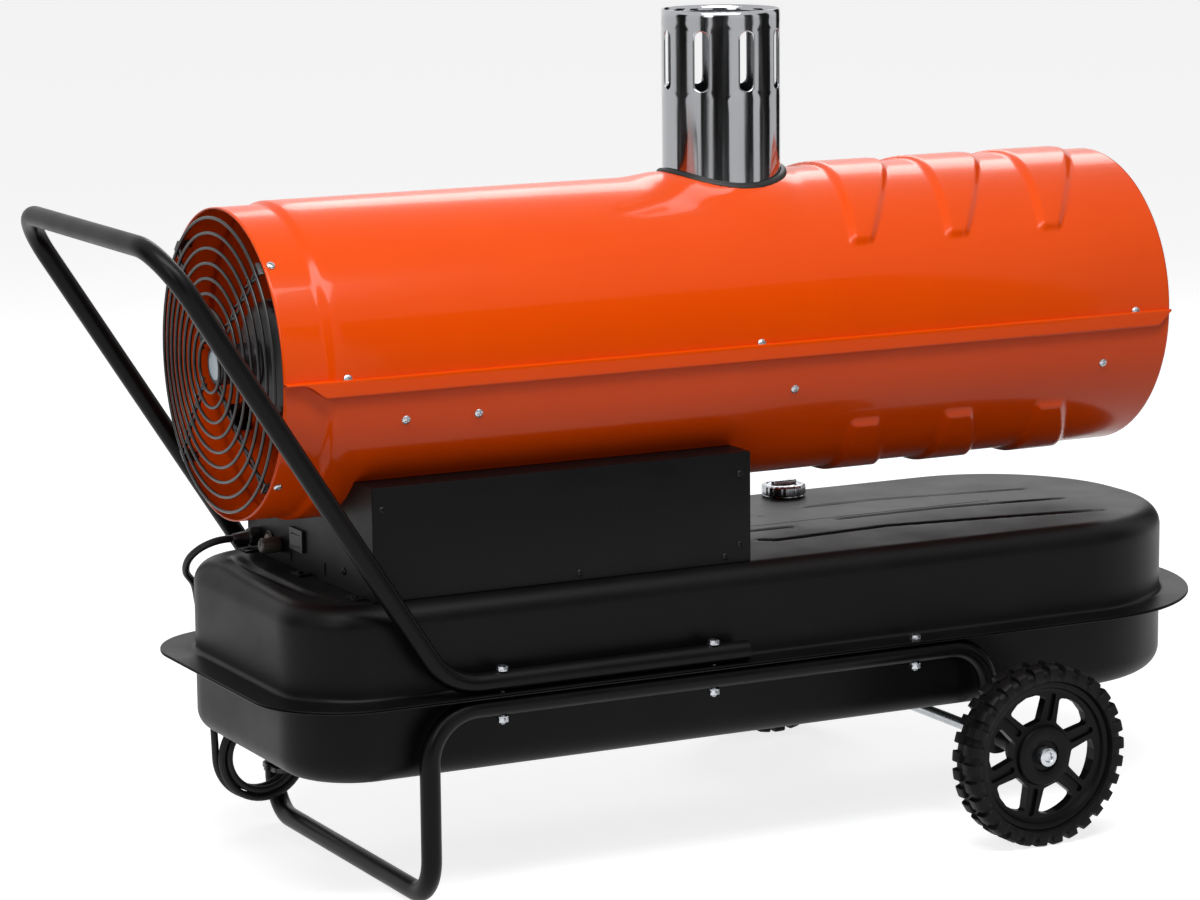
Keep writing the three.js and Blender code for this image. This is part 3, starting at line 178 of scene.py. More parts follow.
def speckled(name, first, second, grain, bump, rough=(0.4, 0.5), tint_size=40.0, height=0.1, **sockets):
    """A material whose object-space clouds of tint_size mm turn colour and roughness, with a bump of grain mm
    noise that is height mm deep."""
    material, tree, shader = finish(name, **sockets)
    place = add(tree, "TexCoord")
    clouds = add(tree, "TexNoise", {"Scale": 1000 / tint_size, "Detail": 3.0}, {"Vector": (place, "Object")})
    tint = add(tree, "MixRGB", {1: linear(first), 2: linear(second)}, {0: (clouds, 0)})
    tree.links.new(tint.outputs[0], shader.inputs["Base Color"])
    polish = add(tree, "MapRange", {1: 0.3, 2: 0.7, 3: rough[0], 4: rough[1]}, {0: (clouds, 0)})
    tree.links.new(polish.outputs[0], shader.inputs["Roughness"])
    fine = add(tree, "TexNoise", {"Scale": 1000 / grain, "Detail": 2.0}, {"Vector": (place, "Object")})
    relief = add(tree, "Bump", {"Strength": bump, "Distance": height * MM}, {"Height": (fine, 0)})
    tree.links.new(relief.outputs[0], shader.inputs["Normal"])
    return material


def ring_faces(rows, columns, around, along):
    """Quads of a grid of rows by columns, closed around the columns and along the rows where asked."""
    row = np.arange(rows if along else rows - 1)[:, None]
    column = np.arange(columns if around else columns - 1)[None, :]
    following, beside = (row + 1) % rows, (column + 1) % columns
    corners = [row * columns + column, row * columns + beside, following * columns + beside,
               following * columns + column]
    return np.stack(np.broadcast_arrays(*corners), -1).reshape(-1, 4)


def skin(points, around=True, along=False, caps=(False, False)):
    """A surface over a grid of points (rows, columns, 3) in mm, with flat caps on its first and last row."""
    rows, columns = points.shape[:2]
    faces = [tuple(face) for face in ring_faces(rows, columns, around, along).tolist()]
    if caps[0]:
        faces.append(tuple(range(columns - 1, -1, -1)))
    if caps[1]:
        faces.append(tuple(range((rows - 1) * columns, rows * columns)))
    return points.reshape(-1, 3), faces


def walk(points, count=None, step=None):
    """Even steps along a polyline, by arc length."""
    points = np.asarray(points, float)
    spans = np.linalg.norm(np.diff(points, axis=0), axis=1)
    length = np.concatenate([[0], np.cumsum(spans)])
    count = count or max(2, int(round(length[-1] / step)) + 1)
    at = np.linspace(0, length[-1], count)
    return np.stack([np.interp(at, length, points[:, k]) for k in range(3)], -1)


def smooth(points, each=12):
    """A centripetal Catmull-Rom curve through the points: each span is a blend of its two parabolas."""
    p = np.asarray(points, float)
    p = np.vstack([2 * p[0] - p[1], p, 2 * p[-1] - p[-2]])
    t = np.concatenate([[0], np.cumsum(np.linalg.norm(np.diff(p, axis=0), axis=1) ** 0.5)])
    out = []
    for i in range(1, len(p) - 2):
        u = np.linspace(t[i], t[i + 1], each, endpoint=False)[:, None]
        a = [((t[i + k] - u) * p[i + k - 1] + (u - t[i + k - 1]) * p[i + k]) / (t[i + k] - t[i + k - 1])
             for k in (0, 1, 2)]
        b = [((t[i + 1 + k] - u) * a[k] + (u - t[i - 1 + k]) * a[k + 1]) / (t[i + 1 + k] - t[i - 1 + k])
             for k in (0, 1)]
        out.append(((t[i + 1] - u) * b[0] + (u - t[i]) * b[1]) / (t[i + 1] - t[i]))
    return np.vstack([*out, p[-2:-1]])


def carried(path):
    """Two unit vectors square to a path at each point, carried along it without twist."""
    path = np.asarray(path, float)
    heading = np.gradient(path, axis=0)
    heading /= np.linalg.norm(heading, axis=1)[:, None]
    seed = np.eye(3)[np.argmin(np.abs(heading[0]))]
    first = []
    for way in heading:
        seed = seed - way * seed.dot(way)
        seed = seed / np.linalg.norm(seed)
        first.append(seed)
    first = np.array(first)
    return first, np.cross(heading, first)


def tube(path, radius, sides=24, caps=(True, True)):
    """A circle of radius (a number or one for each point) carried along a path."""
    first, second = carried(path)
    turn = np.linspace(0, 2 * pi, sides, endpoint=False)
    reach = np.broadcast_to(np.asarray(radius, float), len(path))[:, None, None]
    ring = first[:, None] * np.cos(turn)[None, :, None] + second[:, None] * np.sin(turn)[None, :, None]
    return skin(np.asarray(path)[:, None] + reach * ring, True, False, caps)


AXES = {"x": (1, 2, 0), "y": (2, 0, 1), "z": (0, 1, 2)}


def lathe(profile, axis, centre=(0, 0, 0), sides=64, loop=False, flute=None):
    """A (radius, height) profile turned about an axis. flute, a function of angle and radius, adds to it."""
    profile = np.asarray(profile, float)
    turn = np.linspace(0, 2 * pi, sides, endpoint=False)[None, :]
    radius = np.broadcast_to(profile[:, :1], (len(profile), sides))
    height = np.broadcast_to(profile[:, 1:], (len(profile), sides))
    if flute:
        radius = radius + flute(np.broadcast_to(turn, radius.shape), radius, height)
    points = np.zeros((len(profile), sides, 3))
    across, beyond, along = AXES[axis]
    points[..., across] = radius * np.cos(turn)
    points[..., beyond] = radius * np.sin(turn)
    points[..., along] = height
    return skin(points + np.asarray(centre, float), True, loop)


def merged(*shells):
    """Several (points, faces) shells as one."""
    points, faces, start = [], [], 0
    for shell_points, shell_faces in shells:
        points.append(shell_points)
        faces += [tuple(v + start for v in face) for face in shell_faces]
        start += len(shell_points)
    return np.vstack(points), faces


def make(name, shells, material, body, nodes=(), sharp=35, weld=0.004):
    """Makes a piece of (points, faces) shells in mm: welds doubles, turns normals out and rides a body."""
    points, faces = merged(*shells)
    mesh = bpy.data.meshes.new(name)
    mesh.from_pydata((points * MM).tolist(), [], faces)
    whole = bmesh.new()
    whole.from_mesh(mesh)
    bmesh.ops.remove_doubles(whole, verts=whole.verts, dist=weld * MM)
    bmesh.ops.dissolve_degenerate(whole, edges=whole.edges, dist=1e-7)
    bmesh.ops.recalc_face_normals(whole, faces=whole.faces)
    whole.to_mesh(mesh)
    whole.free()
    mesh.shade_smooth()
    mesh.set_sharp_from_angle(angle=radians(sharp))
    mesh.materials.append(material)
    made = bpy.data.objects.new(name, mesh)
    bpy.context.scene.collection.objects.link(made)
    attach(made, body)
    if nodes:
        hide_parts(*nodes)
    return made


def turned_about(points, axis, angle, centre=(0, 0, 0)):
    """Points turned by an angle in degrees about an axis through a centre."""
    turn = np.array(Matrix.Rotation(radians(angle), 3, axis.upper()))
    centre = np.asarray(centre, float)
    return (np.asarray(points) - centre) @ turn.T + centre


# Chloroprene cable rubber, extruded: near black, dull, with a faint bloom and a fine drag along the lead
cable_rubber = speckled("cable_rubber_extruded", "#0C0C0D", "#141415", 0.9, 0.25, (0.42, 0.58), 60, IOR=1.52,
                        Specular_IOR_Level=0.3)

cord_radius = 3.8
supply_route = [
    (-412, 129, 313), (-420, 129, 313), (-431.8, 131.3, 310.7), (-443.7, 137.9, 303.9),
        (-450.8, 149.3, 292.2),
    (-448.3, 164.2, 276.7), (-434.4, 179, 259.9), (-424.7, 195, 238.4), (-416.9, 207.5, 218.5),
    (-413.4, 210.7, 203.8), (-412.3, 208.8, 187.6), (-414.5, 199, 163.8), (-416.8, 187.1, 137.1),
    (-418.1, 177.4, 113.3), (-418.6, 173.4, 93.7), (-418.43, 173.2, 85.75)]
tail_route = [
    (-325.95, 165, 60.68), (-323.4, 165, 65), (-318.8, 167.3, 72.8), (-314.7, 173.3, 81),
        (-312.7, 182.9, 87.9),
    (-314.3, 195, 93.1), (-322, 209.9, 101.1), (-327.7, 218.2, 112.7), (-329.8, 221, 125), (-329.8, 221, 130)]
coil_middle = np.array([-371, 165, 77.5])
coil_radius, coil_turns, coil_spacing = 40.2, 3 + 5 / 12, 8.2
turn = np.linspace(0, coil_turns, 165)
from_middle = turn - coil_turns / 2
coil_reach = coil_radius - coil_spacing * coil_turns / 4 + coil_spacing * np.abs(from_middle)
layer = coil_spacing * (0.5 + 0.5 * np.cos(pi * np.clip(2 * from_middle + 0.5, 0, 1)))
coil_angle = pi + 2 * pi * turn
coil_route = coil_middle + np.stack([coil_reach * np.cos(coil_angle), layer, coil_reach * np.sin(coil_angle)],
                                    -1)
cord_path = np.vstack([smooth(supply_route)[:-1], coil_route, smooth(tail_route)[1:]])
cord_path = walk(cord_path, step=2.2)
lead = make("mains_lead", [tube(cord_path, cord_radius, 16)], cable_rubber, "heater",
            ("power_cord", "cord_coil", "cord_tail"))

# The plug: black moulded rubber with a ribbed relief, a waisted grip and two round nickel pins
plug_centre = np.array([-329.8, 221, 130])
plug_profile = [(4.0, 0.3), (4.9, 0.3), (5.2, 1.6), (5.0, 3.2), (5.6, 4.2), (5.7, 5.8), (5.3, 6.6),
                (6.0, 7.8), (6.2, 9.6),
                (5.8, 10.4), (6.6, 11.8), (6.8, 13.6), (6.3, 14.6), (7.2, 16.2), (7.6, 18.4), (9.2, 20.6),
                (12.6, 22.4),
                (15.2, 25.2), (16.0, 28.4), (15.4, 33.0), (14.5, 38.0), (14.6, 42.0), (15.6, 46.0),
                (16.0, 48.6),
                (15.3, 50.9), (13.2, 52.0), (0.0, 52.0)]
grip_ribs = [lathe([(14.2, h - 1.0), (15.6, h - 0.5), (15.6, h + 0.5), (14.2, h + 1.0)], "z", plug_centre, 48)
             for h in (35.0, 38.4, 41.8)]
plug = make("plug_body", [lathe([(0, 0.3), *plug_profile], "z", plug_centre, 48), *grip_ribs], cable_rubber,
            "heater", ("plug",), sharp=50)

# Nickel-plated brass, turned and drawn: bright, slightly warm, with fine rings
nickel = speckled("nickel_plate_on_brass", "#C9C6BE", "#B4B1AA", 0.6, 0.08, (0.2, 0.32), 12, Metallic=1.0)
pins = [lathe([(0, 50.5), (2.4, 50.5), (2.4, 67.6), (1.7, 69.4), (0.8, 69.9), (0, 70.0)], "z",
              plug_centre + np.array([offset, 0, 0]), 24) for offset in (-9.5, 9.5)]
plug_pins = make("plug_pins", pins, nickel, "heater")


# The ties: black nylon straps round the leg, one over the coil and one over the plug
def rounded_rectangle(x0, x1, y0, y1, radius, each=8):
    """Points of a rectangle whose corners are quarter circles, counter-clockwise."""
    turn = np.linspace(0, pi / 2, each)
    corners = [(x1 - radius, y1 - radius, 0), (x0 + radius, y1 - radius, 1), (x0 + radius, y0 + radius, 2),
               (x1 - radius, y0 + radius, 3)]
    return np.vstack([np.stack([x + radius * np.cos(turn + k * pi / 2),
                                y + radius * np.sin(turn + k * pi / 2)], -1)
                      for x, y, k in corners])


def tie(x0, x1, y0, y1, height):
    """A strap 4.6 mm wide and 1.4 mm thick round a rounded rectangle, with its ratchet head."""
    inner = rounded_rectangle(x0, x1, y0, y1, 9.0)
    outer = rounded_rectangle(x0 - 1.4, x1 + 1.4, y0 - 1.4, y1 + 1.4, 10.4)
    rings = [np.column_stack([ring, np.full(len(ring), z)]) for ring, z in
             ((inner, height - 2.3), (outer, height - 2.3), (outer, height + 2.3), (inner, height + 2.3))]
    strap = skin(np.stack(rings), True, True)
    head_y = (y0 + y1) / 2
    return [strap, rounded_box(x0 - 5.2, x0 - 0.7, head_y - 3.4, head_y + 3.4, height - 3.0, height + 3.0,
                               1.0, 0.6)]


def rounded_box(x0, x1, y0, y1, z0, z1, corner, edge, steps=3):
    """A box whose upright corners have one radius, and whose top and bottom edges another."""
    turn = np.linspace(0, pi / 2, steps + 1)
    levels = [(edge * (1 - sin(a)), z0 + edge * (1 - cos(a))) for a in turn]
    levels += [(edge * (1 - cos(a)), z1 - edge * (1 - sin(a))) for a in turn]
    rings = []
    for inset, z in levels:
        ring = rounded_rectangle(x0 + inset, x1 - inset, y0 + inset, y1 - inset, max(corner - inset, 0.05), 5)
        rings.append(np.column_stack([ring, np.full(len(ring), z)]))
    return skin(np.stack(rings), True, False, (True, True))


# Nylon 66, moulded: black with a soft sheen and a faint mottle
nylon = speckled("nylon_66_moulded", "#0F0F10", "#18181A", 0.8, 0.15, (0.32, 0.46), 25, IOR=1.53)
coil_tie = make("coil_tie", tie(-355.5, -313.5, 160.6, 204.5, 57.5), nylon, "heater",
                ("cord_tie",))
plug_strap = make("plug_strap", tie(-352.2, -313.3, 183.5, 237.5, 164), nylon, "heater",
                  ("plug_tie",))

# ------------------------------------------------------------
# Casing shells. Two half shells of 1.5 mm steel sheet, rolled, pressed with three slanting ribs each and
# joggled down to the neck that holds the grille, then powder-coated glossy orange and screwed at the sides.
casing_height, casing_radius, casing_sheet = 511.0, 155.0, 1.5
inlet_x, casing_end, neck_end, joggle = -468.0, 524.5, -425.0, 10.0
flue_x, flue_radius = 80.0, 60.0
rib_reach, rib_apex = 55.0, 8.0
lip_reach, lip_drop = 4.5, 15.0


def ramp(value, low, high):
    """0 below low, 1 above high, and between them the smooth cubic 3 t squared minus 2 t cubed."""
    t = np.clip((value - low) / (high - low), 0, 1)
    return t * t * (3 - 2 * t)


def rib_rise(x, away, start, pitch, width, slant, end_width):
    """Height of the ribs at a place x and an angle away from the shell's middle: each is a plateau between
    a left and a right edge, which slide to the inlet as the square root of angle squared plus apex squared,
    and it ends at the reach."""
    bow = np.hypot(np.minimum(away, rib_reach), rib_apex) - rib_apex
    share = bow / (hypot(rib_reach, rib_apex) - rib_apex)
    rise = np.zeros(np.broadcast(x, away).shape)
    for number in range(3):
        left = start + number * pitch - slant * share
        right = start + number * pitch + width + (end_width - slant - width) * share
        plateau = ramp(x, left - 1.5, left + 6.5) * (1 - ramp(x, right - 6.5, right + 1.5))
        rise = np.maximum(rise, plateau * (1 - ramp(away, rib_reach - 2.4, rib_reach + 0.6)))
    return 4.4 * rise


def flue_bulge(x, y):
    """The saddle pressed up round the flue: 4 mm at the hole, longer towards the inlet than the outlet."""
    along = x - flue_x
    stretch = np.where(along < 0, 1.0, 1.45)
    distance = np.hypot(along * stretch, y)
    return 4.0 * (1 - ramp(distance, 68, 112))


def shell_half(rise, lines, ribs):
    """Half a casing: x by angle away from its middle, drawn in at the neck, raised at ribs and flue, and
    carried out at each side into the seam's flange; rise is 1 for the upper shell and -1 for the lower."""
    x = np.unique(np.concatenate([np.linspace(inlet_x, neck_end, 14),
                                  np.linspace(neck_end, neck_end + joggle, 9),
                                  np.linspace(neck_end + joggle, 0, 44), np.linspace(0, 72, 28),
                                  np.linspace(72, 420, 175), np.linspace(420, 509, 24),
                                  np.linspace(509, casing_end, 9)]))
    away = np.unique(np.concatenate([np.linspace(0, 30, 24), np.linspace(30, 50, 12), np.linspace(50, 57, 8),
                                     np.linspace(57, 90, 20)]))
    angle = np.radians(np.concatenate([-away[:0:-1], away]))
    across, along = np.meshgrid(angle, x, indexing="ij")
    step = 3.5 * (1 - ramp(along, neck_end, neck_end + joggle))
    radius = casing_radius - step + rib_rise(along, np.abs(np.degrees(across)), *ribs)
    if rise > 0:
        radius = radius + flue_bulge(along, radius * np.sin(across))
    arc = np.stack([along, radius * np.sin(across), rise * radius * np.cos(across)], -1)
    lip_side = [np.stack([x, np.full_like(x, 1.0) * y, z], -1) for y, z in lines(x)]
    left = np.stack([row * np.array([1, -1, 1]) for row in lip_side[::-1]])
    grid = np.vstack([left, arc, np.stack(lip_side)]) + np.array([0, 0, casing_height])
    return grid


def upper_lip(x):
    """The upper shell's seam: out 4.5 mm on a bend, then down 15 mm; the drop starts 15 mm from the inlet
    and grows as the distance to the power 1.6 over the next 24 mm."""
    inlet_curve = np.clip((x - (inlet_x + 15)) / 24, 0, 1) ** 1.6
    drop = -lip_drop * np.minimum(inlet_curve, np.clip((casing_end - x) / lip_drop, 0, 1))
    edge = casing_radius + lip_reach
    for share, height in ((0.12, 0.9), (0.4, 1.45), (0.7, 1.4), (0.9, 1.0)):
        yield casing_radius + lip_reach * share, np.full_like(x, height)
    yield edge, np.full_like(x, 0.0)
    for share in (0.15, 0.5, 0.85, 1.0):
        yield edge, np.minimum(drop * share, -0.4 * share)


def lower_lip(x):
    """The lower shell's flange: flat, under the upper one."""
    yield casing_radius + 1.4, np.full_like(x, -0.45)
    yield casing_radius + 2.6, np.full_like(x, -0.5)


# Polyester powder coat, baked: a warm orange gloss with a slight orange-peel ripple about 3 mm across
orange_coat = speckled("orange_powder_coat", "#E64C00", "#DE4600", 4.0, 0.05, (0.2, 0.27), 90, 0.12,
                       Coat_Weight=0.16, Coat_Roughness=0.06, IOR=1.5, Specular_IOR_Level=0.1)
upper_ribs = (188, 112, 79, 31, 26)
lower_ribs = (182, 111, 72, 25, 34)
seam_shells = {}
for name, rise, lines, ribs in (("upper_half", 1, upper_lip, upper_ribs),
                                ("lower_half", -1, lower_lip, lower_ribs)):
    grid = shell_half(rise, lines, ribs)
    points, faces = skin(grid, False)
    if rise > 0:
        plan = points[:, :2] - np.array([flue_x, 0])
        distance = np.hypot(plan[:, 0], plan[:, 1])
        hole = 63.6
        near = (np.abs(distance - hole) < 1.6) & (points[:, 2] > casing_height)
        points[near, :2] = np.array([flue_x, 0]) + plan[near] * (hole / distance[near])[:, None]
        centre = points[np.array(faces)].mean(1)
        inside = (np.hypot(centre[:, 0] - flue_x, centre[:, 1]) < hole - 0.4) & (centre[:, 2] > casing_height)
        faces = [face for face, gone in zip(faces, inside) if not gone]
    seam_shells[name] = (points, faces)


def walled(made, sample, away, thickness):
    """Turns the faces over where a sample face points against away, then gives the sheet its wall inwards."""
    if sample.normal.dot(Vector(away)) < 0:
        made.data.flip_normals()
    wall = made.modifiers.new("sheet", "SOLIDIFY")
    wall.thickness = thickness * MM
    wall.offset = -1


for name, node in (("upper_half", "upper_shell"), ("lower_half", "lower_shell")):
    shell = make("casing_" + name, [seam_shells[name]], orange_coat, "heater", (node,),
                 sharp=40)
    sample = shell.data.polygons[len(shell.data.polygons) // 2]
    walled(shell, sample, sample.center - Vector((sample.center.x, 0, casing_height * MM)), casing_sheet)

# ------------------------------------------------------------
# Screws. Zinc-plated pan heads with a cross recess hold the lip, the shells, the grille's hooks and the
# covers; each is 8 mm across with its crown 2.4 mm proud.
zinc = speckled("zinc_plate_bright", "#C9CCD0", "#AFB3B8", 0.7, 0.08, (0.2, 0.34), 9, Metallic=1.0)


def pan_head(centre, outward, radius=4.0, crown=2.4):
    """A domed head on a plane: height is crown times the root of one minus radius squared, less a cross of
    slots 1.1 mm wide that is 1.3 mm deep within 2.3 mm of the middle."""
    reach = np.array([0, 0.14, 0.28, 0.42, 0.54, 0.6, 0.72, 0.84, 0.93, 0.98, 1.0])[:, None] * radius
    turn = np.linspace(0, 2 * pi, 48, endpoint=False)[None, :]
    a, b = reach * np.cos(turn), reach * np.sin(turn)
    dome = crown * np.sqrt(np.clip(1.02 - (reach / radius) ** 2 * 0.9, 0, 1))
    slot = (np.minimum(np.abs(a), np.abs(b)) < 0.14 * radius) & (np.maximum(np.abs(a),
                                                                            np.abs(b)) < 0.57 * radius)
    height = np.broadcast_to(dome, a.shape) - np.where(slot, 0.55 * crown, 0)
    height = np.vstack([height, np.full((1, 48), -0.6)])
    a, b = np.vstack([a, a[-1:]]), np.vstack([b, b[-1:]])
    outward = np.asarray(outward, float) / np.linalg.norm(outward)
    first = np.cross(outward, [0, 0, 1.0]) if abs(outward[2]) < 0.9 else np.array([1.0, 0, 0])
    first = first / np.linalg.norm(first)
    second = np.cross(outward, first)
    spin = 0.6 * (centre[0] * 0.37 + centre[1] * 0.11)
    first, second = first * cos(spin) + second * sin(spin), second * cos(spin) - first * sin(spin)
    points = np.asarray(centre, float) + a[..., None] * first + b[..., None] * second
    points = points + height[..., None] * outward
    return skin(points[::-1])


def on_casing(x, elevation, side, radius=casing_radius):
    """A place on the casing's round at an elevation in degrees above the axis, and the way out of it."""
    way = np.array([0, side * cos(radians(elevation)), sin(radians(elevation))])
    return np.array([x, 0, casing_height]) + way * radius, way


casing_screws = []
for side in (-1, 1):
    for x, z in ((-405, 514.0), (39, 514.0), (482, 514.0)):
        casing_screws.append(pan_head((x, side * (casing_radius + 0.9), z - 1), (0, side, 0.25), 4.4))
    for x, elevation in ((-343, -16), (-267, -16), (81, -18), (448, -19)):
        casing_screws.append(pan_head(*on_casing(x, elevation, side), 4.4))
    for x, elevation in ((-460, 45), (-460, -42.5)):
        casing_screws.append(pan_head(*on_casing(x, elevation, side, casing_radius - 3.4), 4.2))
make("casing_screws", casing_screws, zinc, "heater", sharp=30)

# ------------------------------------------------------------
# Outlet ring. A turned-in collar of the same orange sheet closes the gap behind the casing's mouth, with a
# rolled bead where a duct would seat.
room = casing_radius - casing_sheet - 0.35
ring_profile = [(room, casing_end - 30), (room, casing_end - 3), (room - 0.6, casing_end - 1.2),
                (room - 2.0, casing_end - 0.3), (room - 4, casing_end), (room - 17, casing_end),
                (room - 20.5, casing_end - 0.7), (room - 22.2, casing_end - 2.6),
                (room - 22.2, casing_end - 5.6),
                (room - 20.9, casing_end - 6.6), (room - 20.6, casing_end - 3.2),
                (room - 17, casing_end - 1.6),
                (room - 4.5, casing_end - 1.6), (room - 2.2, casing_end - 3.4), (room - 1.6, casing_end - 6),
                (room - 1.6, casing_end - 30)]
make("mouth_ring", [lathe(ring_profile, "x", (0, 0, casing_height), 160, loop=True)], orange_coat, "heater",
     ("outlet_ring",), sharp=50)

# ------------------------------------------------------------
# Flue. A pipe of polished stainless sheet, rolled to 120 mm and spot-welded at a lap, with eight upright
# slots near its top, stands in a black rubber gasket on the casing's crown.
flue_top, flue_foot, flue_sheet = 832.0, 629.6, 1.2
slot_count, slot_width, slot_height, slot_inset, slot_turn = 8, 15.0, 60.0, 20.0, -3.0


def slotted_pipe():
    """The pipe's sheet unrolled: plain bands below and above, and between them for each slot a ring of quads
    from the slot's outline, two straight sides and two half circles, to the edge of its share of sheet."""
    share = 2 * pi * flue_radius / slot_count
    top, bottom = flue_top - slot_inset + 8, flue_top - slot_inset - slot_height - 8
    half_w, half_h = share / 2, (top - bottom) / 2
    across, upright = 12, 20
    edge = np.vstack([np.column_stack([np.full(upright, half_w),
                                       np.linspace(-half_h, half_h, upright, False)]),
                      np.column_stack([np.linspace(half_w, -half_w, across, False), np.full(across, half_h)]),
                      np.column_stack([np.full(upright, -half_w),
                                       np.linspace(half_h, -half_h, upright, False)]),
                      np.column_stack([np.linspace(-half_w, half_w, across, False),
                                       np.full(across, -half_h)])])
    r, straight = slot_width / 2, slot_height / 2 - slot_width / 2
    up = np.clip(edge[:, 1] * straight / half_h * 1.25, -straight, straight)
    way = np.column_stack([edge[:, 0], (edge[:, 1] - up) * 1.0])
    way = np.where(np.abs(edge[:, 1:]) < half_h * 0.79, np.column_stack([np.sign(edge[:, 0]), 0 * up]), way)
    hole = np.column_stack([0 * up, up]) + r * way / np.maximum(np.linalg.norm(way, axis=1), 1e-6)[:, None]
    rings = np.stack([hole * (1 - t) + edge * t for t in (0, 0.12, 0.4, 1.0)])
    shares = [rings + np.array([number * share, (top + bottom) / 2]) for number in range(slot_count)]
    places = np.arange(slot_count * across + 1) / across * share - half_w
    bands = [np.stack(np.meshgrid(places[:-1], np.linspace(bottom, flue_foot, 10)), -1),
             np.stack(np.meshgrid(places[:-1], np.linspace(flue_top, top, 3)), -1)]

    def rolled(flat):
        """Rolls the sheet: width along it becomes an angle round the pipe, its height stays."""
        angle = flat[..., 0] / flue_radius + radians(slot_turn - 90)
        return np.stack([flue_x + flue_radius * np.cos(angle), flue_radius * np.sin(angle), flat[..., 1]], -1)

    return [skin(rolled(flat), True) for flat in [*shares, *bands]]


# Stainless 304 with a bright annealed face: a mirror drawn out along the sheet by its rolling marks
bright_stainless, tree, shader = finish("stainless_304_bright_annealed", Metallic=1.0)
place = add(tree, "TexCoord")
shrink = add(tree, "Mapping", {"Scale": (160.0, 160.0, 7.0)}, {"Vector": (place, "Object")})
grain = add(tree, "TexNoise", {"Scale": 1.0, "Detail": 3.0}, {"Vector": (shrink, 0)})
polish = add(tree, "MapRange", {1: 0.35, 2: 0.7, 3: 0.07, 4: 0.17}, {0: (grain, 0)})
tree.links.new(polish.outputs[0], shader.inputs["Roughness"])
wave_place = add(tree, "Mapping", {"Scale": (26.0, 26.0, 5.0)}, {"Vector": (place, "Object")})
waves = add(tree, "TexNoise", {"Scale": 1.0, "Detail": 1.5}, {"Vector": (wave_place, 0)})
tint = add(tree, "MixRGB", {1: linear("#B9BBBE"), 2: linear("#9C9DA0")}, {0: (waves, 0)})
tree.links.new(tint.outputs[0], shader.inputs["Base Color"])
relief = add(tree, "Bump", {"Strength": 0.35, "Distance": 0.0012}, {"Height": (waves, 0)})
tree.links.new(relief.outputs[0], shader.inputs["Normal"])

flue = make("flue", slotted_pipe(), bright_stainless, "heater", ("flue_pipe",), sharp=60,
            weld=0.02)
face = max(flue.data.polygons, key=lambda polygon: polygon.area)
walled(flue, face, face.center - Vector((flue_x * MM, 0, face.center.z)), flue_sheet)
lap_angle = radians(12)
lap_turn = np.linspace(lap_angle, lap_angle + 0.24, 7)
lap_reach = flue_radius + np.array([-0.2, 0.5, 0.6, 0.6, 0.6, 0.5, -0.2])
lap = np.stack([np.stack([flue_x + lap_reach * np.cos(lap_turn), lap_reach * np.sin(lap_turn),
                          np.full(7, z)], -1) for z in (flue_top - 100, flue_foot + 30)])
make("flue_lap", [skin(lap, True, False, (True, True))], bright_stainless, "heater")

# The gasket follows the crown: a black rubber bead with a foot on the sheet
turn = np.linspace(0, 2 * pi, 144, endpoint=False)
bead = []
for reach, lift in ((60.3, -6), (60.3, 2.2), (61.0, 3.0), (62.4, 3.3), (64.2, 2.9), (65.6, 1.7), (66.3, 0.2),
                    (66.4, -1.0), (63.9, -1.4), (63.2, -6)):
    x, y = flue_x + reach * np.cos(turn), reach * np.sin(turn)
    crown = np.sqrt(casing_radius ** 2 - y ** 2) + 4.0
    bead.append(np.stack([x, y, casing_height + crown + lift], -1))
make("flue_seal", [skin(np.stack(bead), True, True)], cable_rubber, "heater",
     ("flue_gasket",))

# ------------------------------------------------------------
# Inlet grille. Nine rings of 3.4 mm steel wire are welded in a shallow dome to four pairs of crimped radial
# wires, dipped in black, and held in the neck by hooks at the ends of the radials.
grille_rings, grille_outer, grille_inner, grille_dome, grille_wire = 9, 142.0, 26.0, 9.0, 1.7


def dome_x(reach):
    """The grille's place along the casing at a distance from the axis: a shallow parabola."""
    return inlet_x - 5 - grille_dome * (1 - (reach / grille_outer) ** 2)


wires = []
around = np.linspace(0, 2 * pi, 145)
for reach in np.linspace(grille_inner, grille_outer, grille_rings):
    hoop = np.stack([np.full(145, dome_x(reach)), reach * np.cos(around),
                     casing_height + reach * np.sin(around)], -1)
    wires.append(tube(hoop, grille_wire, 10, (False, False)))
hook_reach = casing_radius - 3.5 - casing_sheet - 0.8 - grille_wire
for eighth in (1, 3, 5, 7):
    for lean in (-1, 1):
        reach = np.linspace(grille_inner - 2, hook_reach, 60)
        wave = lean * (2.4 + 1.5 * np.cos(2 * pi * (reach - grille_inner) / (2 * 14.5)))
        radial = np.stack([dome_x(reach) + 1.9, wave, reach], -1)
        hook = np.array([[dome_x(hook_reach) + 3.2, 2.4 * lean, hook_reach + 0.6],
                         [inlet_x + 2, 2.4 * lean, hook_reach + 0.6],
                         [inlet_x + 13, 2.4 * lean, hook_reach + 0.6]])
        line = turned_about(np.vstack([radial, hook]), "x", 45 * eighth - 90)
        wires.append(tube(line + np.array([0, 0, casing_height]), 1.35, 8))
    clip = turned_about(rounded_box(inlet_x - 4.6, inlet_x + 9, -7, 7, 0, 2.2, 1,
                                    0.5)[0] + np.array([0, 0, hook_reach - 1]),
                        "x", 45 * eighth - 90)
    wires.append((clip + np.array([0, 0, casing_height]), rounded_box(0, 14, -7, 7, 0, 2.2, 1, 0.5)[1]))
# Steel wire, dip-coated in polyethylene: black with a soft shine and a slightly uneven skin
dipped_wire = speckled("wire_dip_coated_black", "#101011", "#1A1A1B", 1.6, 0.3, (0.28, 0.4), 18, IOR=1.5)
make("wire_grille", wires, dipped_wire, "heater", ("inlet_grille",), sharp=60)

